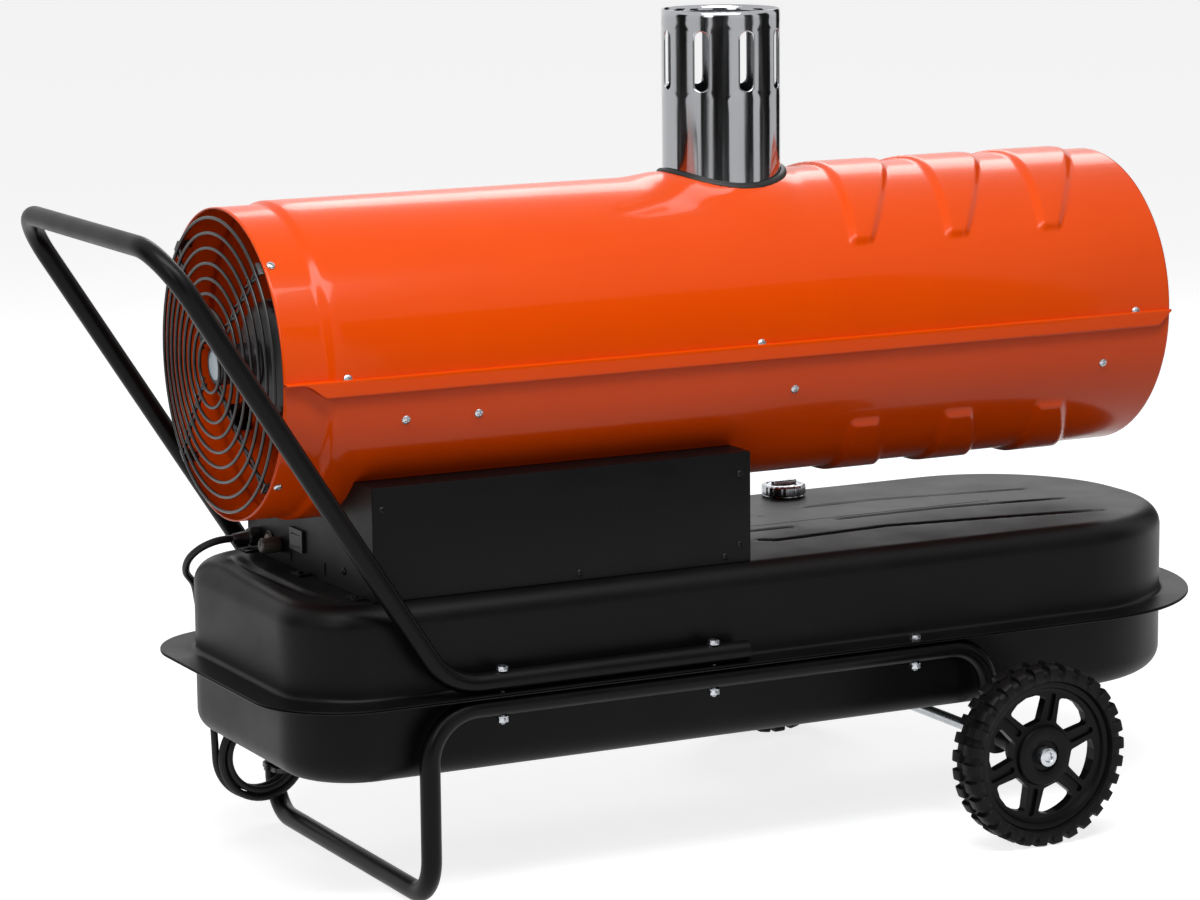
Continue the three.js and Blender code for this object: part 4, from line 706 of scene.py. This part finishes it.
# ------------------------------------------------------------
# Fuel tank. Two deep-drawn pans of 1.5 mm steel are seam-welded at a flange 31 mm wide; long shallow beads
# pressed in the deck stiffen it. The whole tank is sprayed satin black with a fine texture.
seam_height, tank_start, tank_length, tank_width = 204.0, -491.0, 1103.5, 413.0
flange_width, pan_edge, tank_sheet = 31.0, 22.0, 1.5
front_corner, wall_corner, tail_flat = 92.0, 77.0, 20.0


def tank_plan(inset, count=460):
    """The tank's outline drawn in by an inset: two large quarter circles at the tail and two smaller ones at
    the front, joined by straights and stepped evenly along its length."""
    front = front_corner - inset * (front_corner - wall_corner) / flange_width if inset < flange_width \
        else wall_corner - (inset - flange_width)
    half, tail = tank_width / 2 - inset, (tank_width - tail_flat) / 2 - inset
    start, end = tank_start + inset, tank_start + tank_length - inset
    turn = np.linspace(0, pi / 2, 40)
    corners = [(end - tail, -half + tail, tail, 3), (end - tail, half - tail, tail, 0),
               (start + front, half - front, front, 1), (start + front, -half + front, front, 2)]
    line = np.vstack([np.stack([x + r * np.cos(turn + k * pi / 2), y + r * np.sin(turn + k * pi / 2)], -1)
                      for x, y, r, k in corners])
    closed = np.vstack([line, line[:1]])
    length = np.concatenate([[0], np.cumsum(np.linalg.norm(np.diff(closed, axis=0), axis=1))])
    at = np.linspace(0, length[-1], count, endpoint=False)
    return np.stack([np.interp(at, length, closed[:, k]) for k in (0, 1)], -1)


def distance_to_line(points, line):
    """Distance in plan from each point to a polyline, over its segments."""
    best = np.full(points.shape[:-1], 1e9)
    for a, b in zip(line[:-1], line[1:]):
        a, b = np.asarray(a, float), np.asarray(b, float)
        share = np.clip(((points - a) @ (b - a)) / ((b - a) @ (b - a)), 0, 1)
        best = np.minimum(best, np.linalg.norm(points - (a + share[..., None] * (b - a)), axis=-1))
    return best


def pan(depth, beads, bead_depth):
    """A pan above height 0: flange, a small bend, the wall, a 22 mm edge and the deck, which closes on the
    tank's middle line in even steps; beads are pressed in as the cosine of the distance to their line."""
    bend = np.linspace(0, pi / 2, 6)
    profile = [(0.5, 0.15), (0.0, 0.75), (0.4, 1.6), (12, 1.65), (24, 1.65)]
    profile += [(flange_width - 4.5 * (1 - sin(a)), 1.65 + 4.5 * (1 - cos(a))) for a in bend]
    profile += [(flange_width, z) for z in np.linspace(10, depth - pan_edge, 8)]
    profile += [(flange_width + pan_edge * (1 - cos(a)), depth - pan_edge * (1 - sin(a)))
                for a in np.linspace(0.12, pi / 2, 12)]
    rings = [np.column_stack([tank_plan(inset), np.full(460, z)]) for inset, z in profile]
    rim = tank_plan(flange_width + pan_edge)
    spine = np.column_stack([np.clip(rim[:, 0], tank_start + 130, tank_start + tank_length - 207),
                             0 * rim[:, 0]])
    for share in np.linspace(0, 1, 52)[1:]:
        ring = rim + (spine - rim) * share
        sink = sum(0.5 + 0.5 * np.cos(pi * np.clip(distance_to_line(ring, line) / width, 0, 1))
                   for line, width in beads)
        rings.append(np.column_stack([ring, depth - bead_depth * np.clip(sink, 0, 1)]))
    return np.stack(rings)


# Polyester powder coat with a fine texture: warm black, satin, its grain about 0.8 mm across
black_texture = speckled("black_fine_texture_powder_coat", "#060607", "#0A0A0B", 1.1, 0.42, (0.36, 0.46), 70,
                         0.14, IOR=1.5, Specular_IOR_Level=0.12)
deck_beads = [([(213, 66), (300, 67), (395, 52), (474, 40)], 7),
              ([(213, -8), (335, -8), (405, -16), (478, -27)], 7),
              ([(88, -66), (100, -76), (237, -66), (360, -84), (477, -104)], 7),
              ([(100, -21), (150, -21), (148, -36)], 6),
              ([(146, 58), (150, 46)], 6), ([(-412, -120), (-420, -60), (-420, 60), (-412, 120)], 9)]
upper = pan(92.0, deck_beads, 2.6) + np.array([0, 0, seam_height])
lower_beads = [([(-330, 60), (430, 60)], 11), ([(-330, -60), (430, -60)], 11), ([(-400, -90), (-400, 90)], 9)]
lower = (pan(81.0, lower_beads, 3.2) * np.array([1, 1, -1])) + np.array([0, 0, seam_height])
for name, rings, node in (("tank_top", upper, "tank_upper"), ("tank_belly", lower, "tank_lower")):
    half = make(name, [skin(rings)], black_texture, "heater", (node,), sharp=50)
    deck = max(half.data.polygons, key=lambda polygon: abs(polygon.center.z - seam_height * MM))
    walled(half, deck, (0, 0, deck.center.z - seam_height * MM), tank_sheet)

# The drain: a hexagon plug with a fibre washer in the belly's low point
drain = []
hexagon = np.arange(6) * pi / 3
for reach, z in ((8.4, 122.9), (8.4, 121.2), (7.6, 119.0), (7.0, 118.2)):
    drain.append(np.column_stack([-250 + reach * np.cos(hexagon), reach * np.sin(hexagon), np.full(6, z)]))
drain_plug = skin(np.stack(drain), True, False, (True, True))
washer = lathe([(0, 123.6), (11, 123.6), (11, 122.6), (0, 122.6)], "z", (-250, 0, 0), 32)
make("tank_drain", [drain_plug, washer], zinc, "heater")

# ------------------------------------------------------------
# Filler. A zinc-plated neck is pressed into the deck; its bayonet cap has a fluted skirt, a dished top and a
# raised grip across it.
filler = np.array([230.0, 137.0, 0.0])
neck_profile = [(17, 266), (19, 266), (19, 296.2), (22, 296.3), (22.6, 296.9), (22.4, 297.6), (21.4, 297.9),
                (19.2, 297.9),
                (19, 301.2), (18.4, 301.8), (17.4, 301.8), (17, 301.2)]
make("filler_collar", [lathe(neck_profile, "z", filler, 64, loop=True)], zinc, "heater",
     ("filler_neck",))


def cap_flute(angle, radius, height):
    """Twenty-four shallow scallops in the skirt: a cosine wave, only near the outer radius."""
    return -0.55 * (0.5 + 0.5 * np.cos(24 * angle)) * ramp(radius, 21.5, 22.8) * (height < 309.0)


cap_profile = [(19.8, 298.3), (23.0, 298.2), (23.9, 298.9), (24, 299.8), (24, 305.8), (23.7, 307.2),
               (22.8, 308.4),
               (21.4, 309.1), (19.8, 309.3), (18.8, 308.9), (18.2, 308.0), (17.2, 307.5), (12, 307.4),
               (6, 307.4), (0, 307.4)]
grip = rounded_box(214.5, 245.5, 133.6, 140.4, 306.4, 312.9, 3.3, 1.4)
bead_ring = lathe([(9.5, 307.2), (10.6, 308.1), (11.8, 308.1), (12.9, 307.2)], "z", filler, 48)
make("filler_cap", [lathe(cap_profile, "z", filler, 192, flute=cap_flute), grip, bead_ring], zinc, "cap",
     ("fuel_cap",), sharp=40)

# ------------------------------------------------------------
# Frame and handle. Steel tube of 20 mm is bent cold: one length makes the foot and both side rails, and a
# second the push handle. Both are coated satin black and closed with plugs.
def corner_arc(before, corner, after, radius, count):
    """Points on the arc of a radius that touches both legs of a corner, by even turns about its centre."""
    a, b = before - corner, after - corner
    a, b = a / np.linalg.norm(a), b / np.linalg.norm(b)
    half = np.arccos(np.clip(a @ b, -1, 1)) / 2
    centre = corner + (a + b) / np.linalg.norm(a + b) * radius / sin(half)
    first, second = corner + a * radius / np.tan(half) - centre, corner + b * radius / np.tan(half) - centre
    sweep = np.arccos(np.clip(first @ second / radius ** 2, -1, 1))
    t = np.linspace(0, 1, count)[:, None]
    return centre + (np.sin((1 - t) * sweep) * first + np.sin(t * sweep) * second) / sin(sweep)


def bent(corners, radii, each=14):
    """A path through corners: straight between them, with an arc at each inner one."""
    corners = [np.asarray(corner, float) for corner in corners]
    arcs = [corner_arc(*legs, radius, each) for *legs, radius in zip(corners, corners[1:], corners[2:],
                                                                     radii)]
    return np.vstack([corners[0], *arcs, corners[-1]])


def plugged(path, radius=10.0):
    """A tube with a domed plastic plug sunk in each end."""
    shells_made = [tube(path, radius, 40)]
    for end, inward in ((path[0], path[1] - path[0]), (path[-1], path[-2] - path[-1])):
        inward = inward / np.linalg.norm(inward)
        steps = np.array([2.0, -0.2, -1.2, -1.9, -2.2])
        reach = np.array([8.6, 8.6, 8.0, 5.6, 0.05])
        shells_made.append(tube(end + steps[:, None] * inward, reach, 24, (False, False)))
    return shells_made


# Polyester powder coat, satin: black over smooth tube, with a soft line of light along each length
black_satin = speckled("black_satin_powder_coat", "#060607", "#0A0A0B", 1.6, 0.16, (0.3, 0.4), 60, 0.1,
                       IOR=1.5, Specular_IOR_Level=0.12)
run_height, handle_run, tube_y, axle_x, axle_height, rear_x = 192.05, 215.95, 194.0, 290.0, 92.6, 273.0
down = np.array([axle_x - rear_x, axle_height - run_height]) / hypot(axle_x - rear_x,
                                                                     axle_height - run_height)
rear_end = (axle_x + 14 * down[0], axle_height + 14 * down[1])
frame_path = bent([(rear_end[0], -tube_y, rear_end[1]), (rear_x, -tube_y, run_height),
                   (-345, -tube_y, run_height),
                   (-345, -tube_y, 10), (-345, tube_y, 10), (-345, tube_y, run_height),
                   (rear_x, tube_y, run_height),
                   (rear_end[0], tube_y, rear_end[1])], [45, 50, 40, 40, 50, 45])
make("frame_tube", plugged(frame_path), black_satin, "heater", ("base_frame",))
handle_path = bent([(0, -tube_y, handle_run), (-324.6, -tube_y, handle_run), (-602.5, -tube_y, 649),
                    (-602.5, tube_y, 649), (-324.6, tube_y, handle_run), (0, tube_y, handle_run)],
                   [62, 55, 55, 62])
handle_path[:, 0] = np.minimum(handle_path[:, 0], -1.0)
make("push_handle", plugged(handle_path), black_satin, "heater", ("handle",))

# The bolts: six zinc-plated M6 hexagon bolts with washers go down through tube and flange into flange nuts
def hexagon_head(x, y, low, high, across=10.0):
    """A hexagon between two heights with its corners chamfered by a cone at the top."""
    corner = across / 2 / cos(pi / 6)
    turn = np.linspace(0, 2 * pi, 48, endpoint=False)
    flat = across / 2 / np.cos((turn + pi / 6) % (pi / 3) - pi / 6)
    rings = [(flat, low), (flat, high - 0.9), (np.minimum(flat, corner - 0.45), high - 0.4),
             (0 * flat + 4.2, high),
             (0 * flat + 0.02, high)]
    return skin(np.stack([np.column_stack([x + r * np.cos(turn), y + r * np.sin(turn), 0 * turn + z])
                          for r, z in rings]), True, False, (True, False))


number = 0
for x in (-268.0, -38.0, 193.0):
    seat = 225.95 + 0.3 if x < 0 else 205.65 + 0.3
    for y in (-tube_y, tube_y):
        number += 1
        low = run_height - 10 - 0.3
        washers = [lathe([(3, z), (6.0, z), (6.0, z + 1.0), (3, z + 1.0)], "z", (x, y, 0), 40, loop=True)
                   for z in (seat - 0.1, low - 1.1)]
        thread_at = np.linspace(low - 8.2, low - 1.0, 30)
        thread = lathe([(0, low - 8.4), *[(2.6 + 0.35 * (i % 2), z) for i, z in enumerate(thread_at)],
                        (3, low),
                        (3, seat), (0, seat)], "z", (x, y, 0), 24)
        make(f"bolt_{number}", [hexagon_head(x, y, seat + 0.9, seat + 4.5), *washers, thread,
                                hexagon_head(x, y, low - 6.0, low - 1.1)],
             zinc, "heater", (f"frame_bolt_{number}",), sharp=30)

# Axle: a plain zinc-plated bar through the ends of the rails, with a coated spacer at each side
axle_profile = [(0, -289.6), (5, -289.6), (6, -288.6), (6, 288.6), (5, 289.6), (0, 289.6)]
make("axle_bar", [lathe(axle_profile, "y", (axle_x, 0, axle_height), 32)], zinc, "heater",
     ("axle",))

# ------------------------------------------------------------
# Wheels. Moulded black hubs of six grooved spokes with six windows carry solid rubber tyres with two
# staggered rows of square lugs over the shoulders. Bright push-on caps keep them on the axle.
def solid_object(label, shells):
    """A closed object of shells in mm, for the boolean solver, with its normals out."""
    points, faces = merged(*shells)
    mesh = bpy.data.meshes.new(label)
    mesh.from_pydata(points.tolist(), [], faces)
    whole = bmesh.new()
    whole.from_mesh(mesh)
    bmesh.ops.remove_doubles(whole, verts=whole.verts, dist=0.004)
    bmesh.ops.recalc_face_normals(whole, faces=whole.faces)
    whole.to_mesh(mesh)
    whole.free()
    made = bpy.data.objects.new(label, mesh)
    bpy.context.scene.collection.objects.link(made)
    return made


def carve(shells, cutters):
    """The shells with each cutter taken away in turn by the exact solver, as (points, faces) in mm."""
    body = solid_object("carved", shells)
    tools = [solid_object(f"cutter_{number}", [cutter]) for number, cutter in enumerate(cutters)]
    for tool in tools:
        step = body.modifiers.new("cut", "BOOLEAN")
        step.operation, step.solver, step.object = "DIFFERENCE", "EXACT", tool
    graph = bpy.context.evaluated_depsgraph_get()
    mesh = bpy.data.meshes.new_from_object(body.evaluated_get(graph))
    points = np.array([vertex.co[:] for vertex in mesh.vertices])
    faces = [tuple(polygon.vertices) for polygon in mesh.polygons]
    for used in (body, *tools):
        bpy.data.objects.remove(used)
    bpy.data.meshes.remove(mesh)
    return points, faces


def prism(outline, axis, low, high, draft=0.0):
    """A closed outline raised along an axis from low to high, its top drawn in by draft."""
    outline = np.asarray(outline, float)
    middle = outline.mean(axis=0)
    top = middle + (outline - middle) * (1 - draft / np.linalg.norm(outline - middle, axis=1)[:, None])
    across, beyond, along = AXES[axis]
    rings = np.zeros((2, len(outline), 3))
    for ring, line, at in ((rings[0], outline, low), (rings[1], top, high)):
        ring[:, across], ring[:, beyond], ring[:, along] = line[:, 0], line[:, 1], at
    return skin(rings, True, False, (True, True))


def rounded(corners, radius, each=6):
    """A closed polygon with its corners rounded by arcs that touch both legs."""
    corners = [np.asarray(corner, float) for corner in corners]
    return np.vstack([corner_arc(corners[i - 1], corner, corners[(i + 1) % len(corners)], radius, each)
                      for i, corner in enumerate(corners)])


# Moulded polypropylene: black satin, a soft sheen, flow clouds about 30 mm across
wheel_plastic = speckled("black_polypropylene_moulded", "#070708", "#0C0C0D", 0.5, 0.14, (0.32, 0.44), 30,
                         0.06, IOR=1.49, Specular_IOR_Level=0.12)
# Tyre rubber: carbon black, dull, dusty grey where the lugs wear
tyre_rubber = speckled("tyre_rubber_moulded", "#09090A", "#101011", 1.2, 0.3, (0.42, 0.58), 24, 0.12,
                       IOR=1.52, Specular_IOR_Level=0.12)

hub_profile = [(6.5, 243.2), (20, 243.2), (21, 244.2), (21, 268), (23, 269.5), (64, 269.5), (66, 268),
               (66, 262),
               (67, 261), (75.4, 261), (76, 261.6), (76, 285.4), (75.4, 286), (71.4, 286), (70, 285.3),
               (68.2, 281.4),
               (66.4, 280.3), (64, 280), (32.6, 280), (31.2, 280.6), (30.3, 284.4), (29.5, 285.6),
               (28.4, 286),
               (17, 286), (16, 285.5), (15.5, 283.5), (14.8, 283), (6.5, 283)]
# A tyre's rows as two profiles of (radius, distance from the middle plane): carcass and the top of a lug
carcass = np.array([(76.4, 14.5), (77.2, 17.4), (79.5, 18.3), (83.5, 18.0), (86.4, 16.4), (88.0, 13.4),
                    (88.5, 9.8),
                    (88.6, 5.0), (88.6, 3.1), (88.6, 1.0)])
lug = np.array([(76.4, 14.5), (77.2, 17.8), (79.7, 19.2), (86.2, 19.5), (90.2, 18.6), (91.9, 16.4),
                (92.6, 13.2),
                (92.6, 5.6), (92.0, 3.4), (88.6, 2.6)])
lug_count, spoke_count, middle_plane = 30, 6, 273.5
in_pitch = np.array([0, 0.045, 0.075, 0.12, 0.3, 0.5, 0.545, 0.575, 0.62, 0.8])
tread_turn = (np.arange(lug_count)[:, None] + in_pitch[None, :]).ravel() * 2 * pi / lug_count


def tyre(side, middle):
    """A tyre about the axle: carcass and lug profiles blended by the place in the pitch, one half a pitch
    behind the other."""
    rows = []
    for half, profile_order in ((1, slice(None)), (-1, slice(None, None, -1))):
        pitch = (tread_turn * lug_count / (2 * pi) + (0.5 if half < 0 else 0)) % 1
        raised = ramp(pitch, -0.002, 0.04) * (1 - ramp(pitch, 0.58, 0.622))
        both = carcass[:, None, :] + (lug - carcass)[:, None, :] * raised[None, :, None]
        both = both[profile_order]
        rows += [(row[:, 0], half * row[:, 1]) for row in both]
    rings = [np.column_stack([axle_x + r * np.sin(tread_turn), side * (middle + y),
                              axle_height + r * np.cos(tread_turn)])
             for r, y in rows]
    return skin(np.stack(rings), True, True)


for name, side, first_spoke in (("near", -1, 18.0), ("far", 1, 41.0)):
    body = f"{name}_wheel"
    cutters = []
    for k in range(spoke_count):
        a = radians(first_spoke + 360 / spoke_count * k)
        way, across = np.array([sin(a), cos(a)]), np.array([cos(a), -sin(a)])
        b = a + pi / spoke_count
        out, beside = np.array([sin(b), cos(b)]), np.array([cos(b), -sin(b)])
        window = [out * 34.6 * cos(radians(10)) - beside * 8.4, out * 34.6 * cos(radians(10)) + beside * 8.4,
                  out * 55.2 + beside * 22.4, out * 61.4 + beside * 11.5, out * 63.4,
                  out * 61.4 - beside * 11.5,
                  out * 55.2 - beside * 22.4]
        centre = np.array([axle_height, axle_x])
        cutters.append(prism(centre + rounded(window, 3.2), "y", *sorted((side * 262, side * 290))))
        groove = [way * 34.5 - across * 3.4, way * 34.5 + across * 3.4, way * 63.5 + across * 3.4,
                  way * 63.5 - across * 3.4]
        cutters.append(prism(centre + rounded(groove, 3.3), "y", *sorted((side * 276.4, side * 290))))
    rim_solid = lathe([(r, side * y) for r, y in hub_profile], "y", (axle_x, 0, axle_height), 120, loop=True)
    make(f"{body}_hub", [carve([rim_solid], cutters)], wheel_plastic, body, (f"{body}_rim",),
         sharp=28)
    make(f"{body}_tread", [tyre(side, middle_plane)], tyre_rubber, body, (f"{body}_tyre",),
         sharp=38)
    cap = [(6.3, 286.3), (10, 286.3), (10, 290.5), (9.3, 292.0), (7.8, 292.8), (5.4, 292.7), (4.4, 291.3),
           (4.1, 289.9),
           (0, 289.7)]
    ring = [(6.4, 283.1), (9.6, 283.1), (9.6, 286.2), (6.4, 286.2)]
    make(f"{body}_retainer", [lathe([(r, side * y) for r, y in cap], "y", (axle_x, 0, axle_height), 48),
                              lathe([(r, side * y) for r, y in ring], "y", (axle_x, 0, axle_height), 40,
                                    loop=True)],
         zinc, "heater", (f"{body}_cap",))
    sleeve = [(6.3, 204.4), (8.6, 204.4), (9, 204.8), (9, 242.2), (8.6, 242.6), (6.3, 242.6)]
    make(f"{body}_sleeve",
         [lathe([(r, side * y) for r, y in sleeve], "y", (axle_x, 0, axle_height), 40, loop=True)],
         black_satin, "heater", (f"{body}_spacer",))

# ------------------------------------------------------------
# Control box. A folded 1.5 mm chassis with a cradle for the casing is closed by a flat cover on each side;
# its inlet face carries gland, reset button, thermostat knob and rocker, two slots and a screw.
box_start, box_end, box_bottom, box_top = -383.0, 25.0, 296.3, 406.6
for name, side, node in (("near_side_cover", -1, "near_cover"), ("far_side_cover", 1, "far_cover")):
    lies = sorted((side * 155.5, side * 157.0))
    panel = rounded_box(box_start, box_end, *lies, box_bottom, box_top, 0.7, 0.35)
    make(name, [panel], black_texture, "heater", (node,), sharp=40)

# Cover screws: small black pan heads, two near each end of the cover
black_zinc = speckled("black_zinc_screws", "#1E1E20", "#2B2B2D", 0.6, 0.1, (0.3, 0.42), 5, 0.03, Metallic=0.9)
screws = []
for side in (-1, 1):
    for x, z in ((-373, 385), (-373, 314), (13, 385), (13, 314), (-165, 303.4), (-4, 303.4)):
        screws.append(pan_head((x, side * 156.9, z), (0, side, 0), 3.4, 1.7))
make("cover_screws", screws, black_zinc, "heater")

# Three bent feet at the inlet face hold the box to the deck
feet = []
for y in (144, 7, -126):
    feet.append(rounded_box(box_start - 12, box_start - 0.2, y - 11, y + 11, 296.0, 297.6, 1.4, 0.3))
    feet.append(pan_head((box_start - 7, y, 297.5), (0, 0, 1), 3.6, 1.9))
make("box_feet", feet, black_texture, "heater")

# The inlet face: pressed slots drawn as dark recesses' rims, and a screw below
vents = []
for y in (45, -40):
    outline = rounded([(y - 1.8, 301), (y + 1.8, 301), (y + 1.8, 316), (y - 1.8, 316)], 1.7)
    inner = np.array([y, 308.5]) + (outline - np.array([y, 308.5])) * np.array([0.55, 0.86])
    rings = []
    for line, x in ((outline, box_start - 0.05), (outline, box_start - 0.5), (inner, box_start - 0.5),
                    (inner, box_start + 0.2)):
        rings.append(np.column_stack([np.full(len(line), x), line]))
    vents.append(skin(np.stack(rings), True, False, (False, True)))
vents.append(pan_head((box_start - 0.2, -87, 315), (-1, 0, 0), 3.6, 2.0))
make("face_slots", vents, black_zinc, "heater")

# Moulded nylon, black, matt grain: gland, rocker, housings
black_nylon = speckled("black_nylon_moulded", "#101011", "#171718", 0.7, 0.2, (0.38, 0.5), 22, 0.05, IOR=1.53)
grey_plastic = speckled("warm_grey_moulded_plastic", "#4A4743", "#57534E", 0.7, 0.16, (0.36, 0.48), 12, 0.05,
                        IOR=1.5)
pale_plastic = speckled("pale_grey_moulded_plastic", "#B9B8B4", "#C9C8C4", 0.6, 0.1, (0.3, 0.4), 12, 0.04,
                        IOR=1.5)

gy, gz = 129.0, 313.0
clamp_profile = [(0, -411.2), (4.4, -411.2), (5.0, -410.2), (5.6, -404), (6.6, -396.4), (7.4, -394.8),
                 (8.4, -394.4),
                 (8.9, -393.4), (8.9, -391.4)]


def gland_ribs(angle, radius, height):
    """Twelve shallow grip ribs along the dome nut."""
    return 0.35 * np.cos(12 * angle) * ramp(radius, 5.4, 7.4) * (height < -394)


nut_turn = np.linspace(0, 2 * pi, 48, endpoint=False)
nut_reach = 8.6 / np.cos((nut_turn + pi / 6) % (pi / 3) - pi / 6)
nut = skin(np.stack([np.column_stack([0 * nut_turn + x, gy + r * np.cos(nut_turn), gz + r * np.sin(nut_turn)])
                     for r, x in ((np.minimum(nut_reach, 9.2), -391.4), (nut_reach * 0.99, -390.8),
                                  (nut_reach * 0.99, -384.2),
                                  (np.minimum(nut_reach, 9.2), -383.4))]), True, False, (True, True))
make("gland_body", [lathe(clamp_profile, "x", (0, gy, gz), 60, flute=gland_ribs), nut], black_nylon, "heater",
     ("cable_gland",), sharp=30)
button_low, button_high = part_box("reset_button")
by, bz = (button_low[1] + button_high[1]) / 2 / MM, (button_low[2] + button_high[2]) / 2 / MM
br = (button_high[1] - button_low[1]) / 2 / MM
button_profile = [(0, -386.2), (br * 0.45, -386.4), (br * 0.72, -386.9), (br - 0.5, -387), (br, -386.5),
                  (br, -377.2), (0, -377.2)]
make("reset_push", [lathe(button_profile, "x", (0, by, bz), 40)], pale_plastic, "button",
     ("reset_button",), sharp=40)
bezel_ring = [(br + 0.6, -383.2), (br + 3.4, -383.2), (br + 3.4, -384.4), (br + 2.6, -385.2),
              (br + 1.0, -385.2), (br + 0.6, -384.6)]
make("reset_bezel", [lathe(bezel_ring, "x", (0, by, bz), 48, loop=True)], black_nylon, "heater")
knob_low, knob_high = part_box("thermostat_knob")
ky, kz = 73.0, (knob_low[2] + knob_high[2]) / 2 / MM
kr, kx = (knob_high[1] - knob_low[1]) / 2 / MM, knob_low[0] / MM


def knob_flute(angle, radius, height):
    """Eighteen grip scallops around the knob's side."""
    return -0.45 * (0.5 + 0.5 * np.cos(18 * angle)) * ramp(radius, kr - 1.2, kr - 0.4)


knob_profile = [(0, kx + 1.0), (kr - 3.4, kx + 0.9), (kr - 2.0, kx + 0.9), (kr - 1.0, kx + 1.5),
                (kr, kx + 3.0), (kr, -385.2),
                (kr - 0.6, -383.6), (3.0, -383.6), (3.0, -371.5), (0, -371.5)]
mark = rounded_box(kx + 0.1, kx + 1.4, ky - 0.9, ky + 0.9, kz + 0.5, kz + kr - 1.2, 0.5, 0.3)
make("thermostat_dial", [lathe(knob_profile, "x", (0, ky, kz), 144, flute=knob_flute), mark], grey_plastic,
     "dial",
     ("thermostat_knob",), sharp=40)

# The rocker's housing and paddle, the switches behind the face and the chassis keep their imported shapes
def coat(material, *nodes):
    """Gives the solids that stay in view their finish."""
    for node in nodes:
        for surface in bpy.data.objects[node].material_slots:
            surface.material = material


coat(black_nylon, "rocker_housing", "rocker_paddle", "thermostat", "reset_switch")
coat(black_texture, "control_box")

# ------------------------------------------------------------
# Fan. A fluted motor with domed shields hangs in a strap on three arms; five pitched blades of cast
# aluminium, sprayed dark, turn on its shaft. The motor's end can faces the inlet with a plain pale disc.
motor_grey = speckled("motor_dark_enamel", "#17181A", "#202226", 1.4, 0.25, (0.34, 0.48), 34, 0.08, IOR=1.5)
pale_film = speckled("pale_blue_white_film", "#B9CCD8", "#D6E0E6", 2.2, 0.12, (0.25, 0.4), 7, 0.04, IOR=1.46)


def motor_fins(angle, radius, height):
    """Thirty-six shallow ribs along the motor's middle, fading out at its shields."""
    return -1.6 * (0.5 + 0.5 * np.cos(36 * angle)) * ramp(height, -424,
                                                          -420) * (1 - ramp(height, -345, -341)) \
        * (radius > 54)


motor_profile = [(0, -438), (14, -438), (16, -437.4), (17, -435.6), (19, -435), (40, -433.6), (48, -431.4),
                 (54.5, -427.4),
                 (57.4, -423.6), (58, -420), (58, -412), (58, -395), (58, -370), (58, -350), (58, -344),
                 (57.4, -340.4),
                 (54.5, -336.6), (48, -332.6), (40, -330.4), (19, -329), (17, -328.4), (16, -326.6),
                 (14, -326), (6, -326),
                 (5.4, -330), (0, -330)]
make("motor_case", [lathe(motor_profile, "x", (0, 0, casing_height), 216, flute=motor_fins)], motor_grey,
     "heater",
     ("fan_motor",), sharp=40)
can_profile = [(0, -476.2), (14.6, -476.2), (15.2, -476.6), (17.6, -476.6), (18.8, -475.8), (19.4, -474),
               (19.4, -441),
               (20.6, -438.6), (24, -437), (24, -433), (0, -433)]
patch_profile = [(0, -476.9), (13.0, -476.8), (14.2, -476.6), (14.4, -476.1), (0, -476.1)]
make("motor_can", [lathe(can_profile, "x", (0, 0, casing_height), 72)], motor_grey, "heater",
     sharp=40)
make("motor_patch", [lathe(patch_profile, "x", (0, 0, casing_height), 48)], pale_film, "heater")

blade_coat = speckled("fan_dark_enamel", "#121315", "#1A1B1E", 1.0, 0.15, (0.3, 0.42), 30, 0.05,
                      Metallic=0.35)
steel_ground = speckled("ground_steel", "#8E9196", "#A6A9AD", 0.5, 0.1, (0.25, 0.35), 12, 0.02, Metallic=1.0)
heat_steel = speckled("heat_tinted_stainless", "#7D7770", "#9A9590", 1.2, 0.15, (0.38, 0.55), 45, 0.05,
                      Metallic=1.0)
resin = speckled("black_potting_resin", "#141313", "#221F1D", 2.0, 0.2, (0.25, 0.4), 16, 0.06, IOR=1.55)
mask = speckled("green_solder_mask", "#0B4A2A", "#12603A", 1.4, 0.25, (0.25, 0.38), 4, 0.05, IOR=1.55)
brass_turned = speckled("turned_brass", "#B08D4A", "#C9A45C", 0.5, 0.1, (0.22, 0.34), 10, 0.02, Metallic=1.0)
alumina = speckled("white_alumina", "#DCD8CE", "#E8E5DD", 0.6, 0.1, (0.3, 0.42), 9, 0.03, IOR=1.7)
coat(blade_coat, "fan_blade")
coat(steel_ground, "fan_shaft", "fuel_pump")
coat(black_satin, "motor_bracket", "blast_tube")
coat(heat_steel, "heat_exchanger", "combustion_chamber", "burner_head", "front_hanger", "rear_hanger")
coat(brass_turned, "nozzle", "fuel_line", "fuel_filter")
coat(alumina, "ignition_electrode")
coat(resin, "ignition_transformer")
coat(mask, "control_board")
